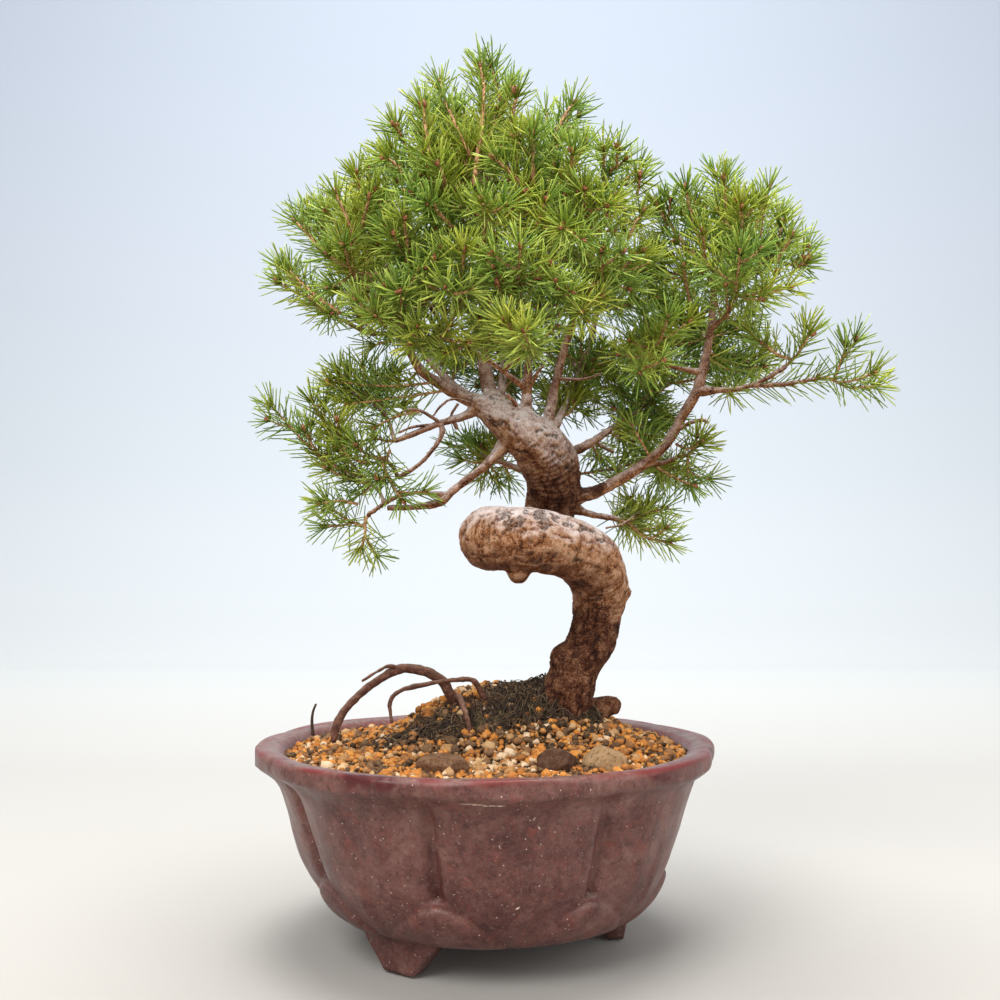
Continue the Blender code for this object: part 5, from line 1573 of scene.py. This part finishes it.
FORK_LIFT = 0.25
FORK_BARE = 7.0  # no shoot forks off that near a tip
FORK_MARGIN = 9.0  # how far inside the outline the forked shoots end
SHOOT_FORKS, TWIG_FORKS, FILL_FORKS = (13.0, 22.0), (14.0, 26.0), (14.0, 20.0)  # spacing, and the longest


def side_shoots(route, rng, spacing, longest):
    """Shoots that fork off a route to either side, shorter towards its tip."""
    travelled = travelled_along(route)
    length = travelled[-1]
    ahead, across, _ = side_frames(route)
    made = []
    spot, side = spacing * rng.uniform(0.5, 1.0), rng.choice((-1, 1))
    while spot < length - FORK_BARE:
        k = min(int(np.searchsorted(travelled, spot)), len(route) - 1)
        forward = ahead[k]
        level = np.cross(forward, (0, 0, 1))
        level = unit(level) if np.linalg.norm(level) > 0.2 else across[k]
        turn = rng.uniform(-0.9, 0.9)
        out = math.cos(turn) * level * side + math.sin(turn) * np.cross(level, forward)
        reach = longest * (1 - 0.55 * spot / length) * rng.uniform(0.7, 1.15)
        way = unit(forward * 0.75 + out * 0.9 + np.array([0, 0, FORK_LIFT]))
        start = route[k]
        tip = np.clip(start + way * reach, OUTLINE_LOW + FORK_MARGIN, OUTLINE_HIGH - FORK_MARGIN)
        middle = (start + tip) / 2 - np.array([0, 0, 0.05]) * reach
        made.append(smooth([start, middle, tip], SHOOT_STEP))
        spot += spacing * rng.uniform(0.75, 1.3)
        side = -side
    return made


BRIGHT_SPOT = seen_at(512, 322, -88)
BRIGHT_SPREAD = 42.0


def glow(tip, most):
    """How much brighter a shoot is for ending near the crown's bright spot."""
    return most * math.exp(-((np.linalg.norm(tip - BRIGHT_SPOT) / BRIGHT_SPREAD) ** 2))


def make_sprays(looks, twigs):
    """The needles of each spray, on its main shoots, on what forks off these, and along its twig."""
    for index, ((twig, _), spray) in enumerate(zip(twigs, SPRAYS)):
        rng = np.random.default_rng(500 + index)
        gathered = Gathered()
        lead = unit(twig[-1] - twig[-2])
        tips = [seen_at(*p) for p in spray[1:]]
        shoots = [shoot_route(twig[-1] - lead, tips[0], 0.10, lead)]
        for tip in tips[1:]:
            shoots.append(shoot_route(shoots[0][2], tip, 0.07, None))
        for route in shoots:
            bright = glow(route[-1], 0.30) + rng.normal(0.0, 0.06)
            dress_shoot(gathered, route, rng, bright=bright)
            for forked in side_shoots(route, rng, *SHOOT_FORKS):
                dress_shoot(gathered, forked, rng, bright=bright + 0.04, thick=0.8)
        if len(twig) > 2 and np.linalg.norm(twig[-1] - twig[0]) > 14.0:
            for forked in side_shoots(smooth(twig, SPRAY_STEP), rng, *TWIG_FORKS):
                dress_shoot(gathered, forked, rng, bright=-0.08, thick=0.85)
        number = f"{index + 1:02d}"
        gathered.piece("needles_" + number, looks, slot="needle_green", replaced=["spray_" + number])


FILLS = {  # middle as seen, half its width and height in pixels and depth in mm, how many shoots, and how bright: low values paint shade on inner and back fills, high ones paint light on those under the right bough
    # Painted shade on the heart, back and inner fills, painted light on those under the right bough.
    "crown_front": ((455, 200, -52), (108, 98, 24), 20, 0.04),
    "crown_left": ((368, 250, -16), (60, 66, 44), 9, 0.08),
    "crown_top": ((482, 146, 6), (60, 48, 38), 14, -0.04),
    "crown_right": ((588, 224, -4), (56, 60, 44), 14, 0.04),
    "crown_heart": ((500, 260, 10), (100, 85, 46), 18, -0.15),
    "crown_back": ((480, 220, 58), (110, 100, 26), 20, -0.08),
    "crown_low": ((432, 322, -16), (92, 36, 36), 15, -0.08),
    "saddle": ((650, 300, 5), (38, 60, 36), 20, -0.04),
    "right_cluster": ((742, 246, -12), (58, 56, 30), 18, 0.15),
    "right_cluster_low": ((722, 346, 26), (44, 44, 18), 15, 0.02),
    "inner_right": ((632, 395, 42), (58, 62, 22), 27, -0.02),
    "behind_boughs": ((572, 388, 50), (60, 56, 24), 22, -0.14),
    "behind_leader": ((492, 366, 44), (50, 34, 24), 16, -0.22),
    "under_right_bough": ((638, 462, 36), (46, 34, 16), 10, 0.22),
    "low_right": ((640, 518, 34), (30, 22, 16), 6, 0.18),
    "left_inner": ((376, 384, 0), (40, 32, 30), 7, 0.03),
    "left_low": ((352, 468, -4), (44, 40, 20), 5, 0.08),
    "behind_trunk": ((490, 462, 62), (32, 32, 20), 9, -0.06),
}

NAMED_SHOOTS = [  # shoots that stand out: the places that each one passes, and how bright it is
    ([(722, 390, -4), (745, 388, -8), (764, 384, -11), (793, 383, -14), (816, 379, -14)], 0.02),
    ([(649, 456, 2), (642, 443, -4), (633, 428, -9)], 0.02),
    ([(580, 474, 34), (606, 470, 32), (629, 465, 28), (646, 457, 22)], -0.12),
    ([(655, 466, 12), (672, 476, 8), (692, 485, 4)], 0.0),
    ([(676, 444, 8), (688, 449, 2), (700, 443, -4)], 0.0),
    ([(390, 450, -6), (386, 462, -8), (384, 478, -10)], -0.06),
    ([(442, 391, -4), (410, 396, -8), (375, 401, -10), (350, 404, -10)], 0.04),
    ([(437, 382, -2), (398, 386, -6), (367, 385, -8), (340, 382, -8)], 0.02),
    ([(421, 411, -9), (398, 416, -10), (376, 426, -12)], 0.0),
    ([(358, 504, -6), (340, 501, -8), (321, 503, -10)], 0.05),
    ([(534, 356, -66), (522, 344, -82), (505, 321, -94)], 0.36),
    ([(536, 358, -64), (530, 346, -84), (523, 332, -99)], 0.36),
    ([(491, 330, -40), (470, 344, -56), (448, 352, -66)], 0.10),
]

CROWN_SHOOTS = [  # shoots over the crown's face: places from base to bud as seen, how bright, how thick
    ([(474, 185), (477, 159), (481, 128), (484, 92), (481, 67)], 0.02, 1.45),
    ([(471, 159), (468, 150), (457, 128), (447, 105), (440, 84)], 0.00, 1.15),
    ([(431, 156), (429, 146), (425, 124), (423, 107)], 0.06, 1.25),
    ([(512, 122), (514, 108), (517, 96)], -0.02, 1.0), ([(500, 100), (496, 82), (492, 66)], -0.04, 0.9),
    ([(552, 138), (558, 128), (566, 114), (573, 104)], -0.02, 1.2),
    ([(534, 186), (533, 174), (533, 150), (533, 132)], 0.10, 1.35),
    ([(563, 200), (566, 191), (571, 167), (573, 152)], 0.14, 1.25),
    ([(404, 142), (400, 133), (395, 126)], -0.02, 1.0),
    ([(414, 182), (406, 175), (393, 162), (386, 159)], 0.02, 1.2),
    ([(447, 190), (444, 179), (439, 166)], 0.06, 1.2), ([(427, 170), (423, 155)], 0.04, 1.0),
    ([(356, 244), (352, 231), (345, 213), (336, 195)], 0.08, 1.25),
    ([(362, 228), (365, 215), (369, 199)], 0.06, 1.2), ([(362, 195), (357, 176)], 0.00, 1.0),
    ([(404, 206), (404, 193)], 0.08, 1.1), ([(408, 264), (407, 240), (405, 218)], 0.12, 1.25),
    ([(454, 230), (450, 225), (439, 213), (432, 201)], 0.04, 1.2),
    ([(486, 250), (485, 237), (485, 220), (484, 204)], 0.12, 1.25),
    ([(461, 300), (462, 276), (464, 252)], 0.16, 1.2), ([(528, 262), (520, 247)], 0.20, 1.15),
    ([(524, 188), (517, 180), (504, 167), (495, 159)], 0.06, 1.1),
    ([(593, 224), (589, 211), (583, 188)], 0.10, 1.2), ([(600, 226), (604, 219), (613, 201)], 0.12, 1.2),
    ([(568, 238), (563, 225)], 0.22, 1.1), ([(606, 262), (601, 249)], 0.16, 1.1),
    ([(350, 258), (343, 245)], 0.06, 1.1), ([(617, 168), (617, 150)], 0.00, 1.0),
    ([(604, 166), (604, 150)], 0.04, 1.0), ([(637, 196), (640, 178)], 0.00, 1.0),
    ([(408, 308), (401, 293)], 0.18, 1.15), ([(386, 326), (375, 316)], 0.22, 1.15),
    ([(440, 276), (435, 261)], 0.10, 1.1), ([(340, 313), (309, 290), (286, 267)], 0.06, 1.1),
    ([(318, 246), (306, 232), (296, 222)], -0.02, 1.0), ([(560, 318), (556, 300), (552, 284)], 0.20, 1.15),
    ([(585, 306), (590, 290), (598, 276)], 0.14, 1.1), ([(625, 290), (632, 274), (636, 258)], 0.08, 1.1),
    ([(500, 300), (497, 284)], 0.14, 1.1), ([(628, 240), (634, 226), (641, 214)], 0.06, 1.1),
    ([(535, 232), (541, 216), (545, 202)], 0.12, 1.1),
]
RIGHT_SHOOTS = [  # and over the cluster on the right
    ([(742, 238), (741, 220), (741, 204)], 0.10, 1.2), ([(760, 236), (762, 219), (762, 203)], 0.08, 1.1),
    ([(776, 262), (784, 250), (791, 237)], 0.10, 1.2), ([(742, 276), (741, 262), (740, 250)], 0.20, 1.2),
    ([(726, 208), (725, 192), (724, 180)], 0.04, 1.1), ([(692, 214), (688, 202), (686, 190)], 0.04, 1.1),
    ([(668, 226), (663, 216), (659, 207)], 0.00, 1.0), ([(790, 275), (798, 268), (805, 261)], 0.04, 1.1),
    ([(706, 268), (704, 250), (703, 234)], 0.14, 1.15), ([(765, 300), (771, 287), (776, 275)], 0.12, 1.1),
    ([(728, 318), (727, 302), (726, 288)], 0.14, 1.1), ([(690, 300), (686, 284), (684, 268)], 0.06, 1.1),
]

BARE_TWIGS = [  # leafless twigs and stubs, as the routes are, with their radii
    [(474, 404, -4, 0.9), (453, 399, -10, 0.65), (441, 406, -12, 0.6), (433, 416, -11, 0.5)],
    [(441, 423, -5, 1.1), (421, 411, -9, 0.8), (407, 410, -10, 0.7), (396, 416, -10, 0.55)],
    [(432, 425, -5, 0.9), (413, 427, -8, 0.7), (398, 433, -8, 0.6)],
    [(458, 404, -2, 0.8), (451, 416, 0, 0.7), (456, 426, 1, 1.2), (457, 429, 1, 0.9)],
    [(560, 379, 5, 1.0), (584, 379, -4, 0.7), (602, 373, -8, 0.5)],
    [(520, 415, -8, 1.5), (514, 402, -13, 1.1), (507, 395, -15, 1.2)],
    [(529, 388, -8, 1.3), (538, 372, -13, 0.9), (543, 366, -15, 0.7)],
    [(678, 429, 4, 1.5), (690, 423, 2, 1.0), (702, 420, 0, 0.9), (709, 423, -1, 0.6)],
    [(598, 444, 23, 1.3), (607, 449, 18, 0.9), (613, 452, 15, 0.8)],
    [(640, 512, 20, 0.8), (622, 524, 16, 0.6), (606, 528, 12, 0.5)],
]


def carriers(twigs):
    """Points along the twigs and the outer boughs that shoots can grow from."""
    rows = [limb_samples()[:, :3]]
    for points, _ in twigs:
        rows.append(smooth(points, LIMB_STEP))
    return np.vstack(rows)


STEMS_LOWEST = 205.0  # the shoots grow from what lies higher
FILL_REACH = (8.0, 62.0)  # a shoot that would be shorter or longer isn't made
FORKED_FROM = 24.0  # a longer shoot forks
FILL_MARGIN = 10.0
TRIES = 6  # for each shoot
STEM_GAP, GAP_COST = 13.0, 30.0  # a stem nearer than that is taken last
LEVEL_COST = 0.8  # for each millimetre that a stem lies higher than the tip


def make_fills(looks, twigs):
    """The shoots between the sprays, from the nearest twig or bough out towards the crown's skin."""
    stems = carriers(twigs)
    stems = stems[stems[:, 2] > STEMS_LOWEST]
    for number, (name, (middle, half, count, bright)) in enumerate(FILLS.items()):
        rng = np.random.default_rng(900 + number)
        gathered = Gathered()
        made = 0
        for _ in range(count * TRIES):
            if made == count:
                break
            spot = rng.normal(size=3)
            spot = spot / np.linalg.norm(spot) * rng.uniform(0.25, 1.0) ** 0.5
            tip = seen_at(*(np.array(middle) + np.array(half) * spot))
            if not ((tip > OUTLINE_LOW + FILL_MARGIN) & (tip < OUTLINE_HIGH - FILL_MARGIN)).all():
                continue
            gaps = np.linalg.norm(stems - tip, axis=1)
            level = np.clip(stems[:, 2] - tip[2] - 4.0, 0, None)
            cost = np.where(gaps > STEM_GAP, gaps, gaps + GAP_COST) + LEVEL_COST * level
            start = stems[np.argmin(cost)]
            reach = np.linalg.norm(tip - start)
            if not FILL_REACH[0] <= reach <= FILL_REACH[1] or not clear_of_wood(tip[None])[0]:
                continue
            sag = np.array([0, 0, -0.08 * reach]) + rng.normal(0, 0.05 * reach, 3)
            route = smooth([start, (start + tip) / 2 + sag, tip], SHOOT_STEP)
            shade = bright + rng.normal(0, 0.05) + glow(tip, 0.25)
            dress_shoot(gathered, route, rng, bright=shade, thick=0.95)
            made += 1
            if reach > FORKED_FROM:
                for forked in side_shoots(route[len(route) // 3:], rng, *FILL_FORKS):
                    dress_shoot(gathered, forked, rng, bright=shade, thick=0.8)
        if gathered.count:
            gathered.piece("needles_" + name, looks, slot="needle_green")


FACES = {  # shoots, the middle of their face and half its size in the picture, and how far it bulges
    "crown_shoots": (CROWN_SHOOTS, (470, 235), (185, 205), 92.0),
    "right_shoots": (RIGHT_SHOOTS, (738, 250), (95, 98), 44.0),
}
FACE_BASE = 16.0  # how far behind the face a shoot starts


def make_named_shoots(looks):
    """The shoots that stand out against the wood and the background, and those over the crown's face."""
    rng = np.random.default_rng(77)
    gathered = Gathered()
    for places, bright in NAMED_SHOOTS:
        dress_shoot(gathered, smooth([seen_at(*p) for p in places], SHOOT_STEP), rng, bright=bright,
                    thick=0.9)
    gathered.piece("needles_named_shoots", looks, slot="needle_green")
    for name, (shoots, middle, half, bulge) in FACES.items():
        gathered = Gathered()
        for places, bright, thick in shoots:
            route = []
            for share, (across, down) in zip(np.linspace(0, 1, len(places)), places):
                off = ((across - middle[0]) / half[0]) ** 2 + ((down - middle[1]) / half[1]) ** 2
                behind = -bulge * math.sqrt(max(0.0, 1 - off)) + FACE_BASE * (1 - share)
                route.append(seen_at(across, down, behind))
            route = smooth(route, SHOOT_STEP)
            dress_shoot(gathered, route, rng, bright=bright, thick=thick, bud=4.2, untidy=0.6)
        gathered.piece("needles_" + name, looks, slot="needle_green")


# The studio

PAPER_SPAN = (-0.2, 4.3)  # how far back plus how high, in metres
PAPER = [  # a warm floor and a bluish top
    (0.0, (0.42, 0.40, 0.37)), (0.15, (0.43, 0.42, 0.40)), (0.4, (0.64, 0.66, 0.65)),
    (1.0, (0.56, 0.62, 0.72)),
]
BACKDROP = [(0, -1.6, 0.0), (0, 1.2, 0.0), (0, 1.9, 0.02), (0, 2.35, 0.25), (0, 2.55, 0.9), (0, 2.6, 2.6)]
BACKDROP_HALF = 3.2
BACKDROP_STEP = 0.12
LIT_MIDDLE = (0.0, 0.0, 0.25)
LIGHTS = {  # place and what it faces in metres, its width, power and colour
    "key": ((-0.9, -1.5, 1.7), LIT_MIDDLE, 1.3, 34.0, (1.0, 0.985, 0.96)),
    "fill": ((1.5, -1.3, 0.9), LIT_MIDDLE, 1.5, 12.0, (0.97, 0.99, 1.0)),
    "top": ((0.0, 0.0, 1.9), LIT_MIDDLE, 1.3, 42.0, (1.0, 1.0, 1.0)),
    "backdrop_light": ((0.0, 1.1, 2.7), (0.0, 2.6, 0.7), 2.2, 26.0, (1.0, 1.0, 1.0)),
}
SKY_COLOR = (0.98, 0.99, 1.0, 1.0)
SKY_STRENGTH = 0.68


def make_stage():
    """A pale floor that curves up into a pale backdrop."""
    profile = smooth(BACKDROP, BACKDROP_STEP)
    rows = [[(x, y, z) for x in (-BACKDROP_HALF, BACKDROP_HALF)] for _, y, z in profile]
    mesh = bpy.data.meshes.new("backdrop")
    points = [p for row in rows for p in row]
    faces = [(2 * k, 2 * k + 1, 2 * k + 3, 2 * k + 2) for k in range(len(rows) - 1)]
    mesh.from_pydata(points, [], faces)
    mesh.shade_smooth()
    made = bpy.data.objects.new("backdrop", mesh)
    bpy.context.scene.collection.objects.link(made)
    g = Graph("backdrop_paper", Roughness=0.9, Specular_IOR_Level=0.1)
    spot = g.node("ShaderNodeSeparateXYZ", {"Vector": g.place}).outputs
    back = g.range(g.plus(spot["Y"], spot["Z"]), *PAPER_SPAN)
    color = g.ramp(back, PAPER)
    g.finish(color, None, g.bump(g.noise(1.5, 3.0), 0.05, 0.1))
    mesh.materials.append(g.material)


def soft_light(name, place, target, size, power, color):
    light = bpy.data.lights.new(name, "AREA")
    light.shape = "DISK"
    light.size = size
    light.energy = power
    light.color = color
    made = bpy.data.objects.new(name, light)
    bpy.context.scene.collection.objects.link(made)
    made.location = place
    made.rotation_euler = (Vector(target) - Vector(place)).to_track_quat("-Z", "Y").to_euler()


def make_studio():
    make_stage()
    for name, light in LIGHTS.items():
        soft_light(name, *light)
    scene = bpy.context.scene
    world = bpy.data.worlds.new("studio")
    scene.world = world
    world.use_nodes = True
    sky = world.node_tree.nodes["Background"].inputs
    sky["Color"].default_value = SKY_COLOR
    sky["Strength"].default_value = SKY_STRENGTH
    scene.view_settings.view_transform = "Standard"
    camera = bpy.data.objects.new("camera", bpy.data.cameras.new("camera"))
    scene.collection.objects.link(camera)
    camera.data.sensor_width = SENSOR
    camera.data.lens = FOCAL_PX * SENSOR / PICTURE_PX
    camera.location = tuple((EYE + POT_AXIS) * MM)
    camera.rotation_euler = (math.pi / 2 + EYE_TILT, 0.0, 0.0)
    scene.camera = camera


# The whole

FOOT_TOP = 126.0  # up to where the trunk's foot stands in the mat


def main():
    make_studio()
    make_pot(glaze_look())
    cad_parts["drain_screen"].data.materials.clear()
    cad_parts["drain_screen"].data.materials.append(screen_look())
    make_gravel_bed(soil_look())
    trunk_points, _ = smooth_route(TRUNK, TRUNK_STEP)
    make_grains(gravel_look(), trunk_points)
    foot = trunk_points[trunk_points[:, 2] < FOOT_TOP][:, :2]
    make_rootball(soil_look(), foot)
    make_root_hairs(moss_look(), foot)
    make_pebbles(pebble_look())
    make_trunk(bark_look("trunk_bark"))
    make_boughs(bark_look("bough_bark", fine=True))
    make_roots(root_look())
    limbs = limb_samples()
    twigs = [twig_route([seen_at(*p) for p in spray], limbs) for spray in SPRAYS]
    make_twigs(bark_look("twig_bark", fine=True), twigs)
    needles = needle_look("needle_green")
    looks = [needles, shoot_look(), bud_look()]
    make_sprays(looks, twigs)
    make_fills(looks, twigs)
    make_named_shoots(looks)


main()
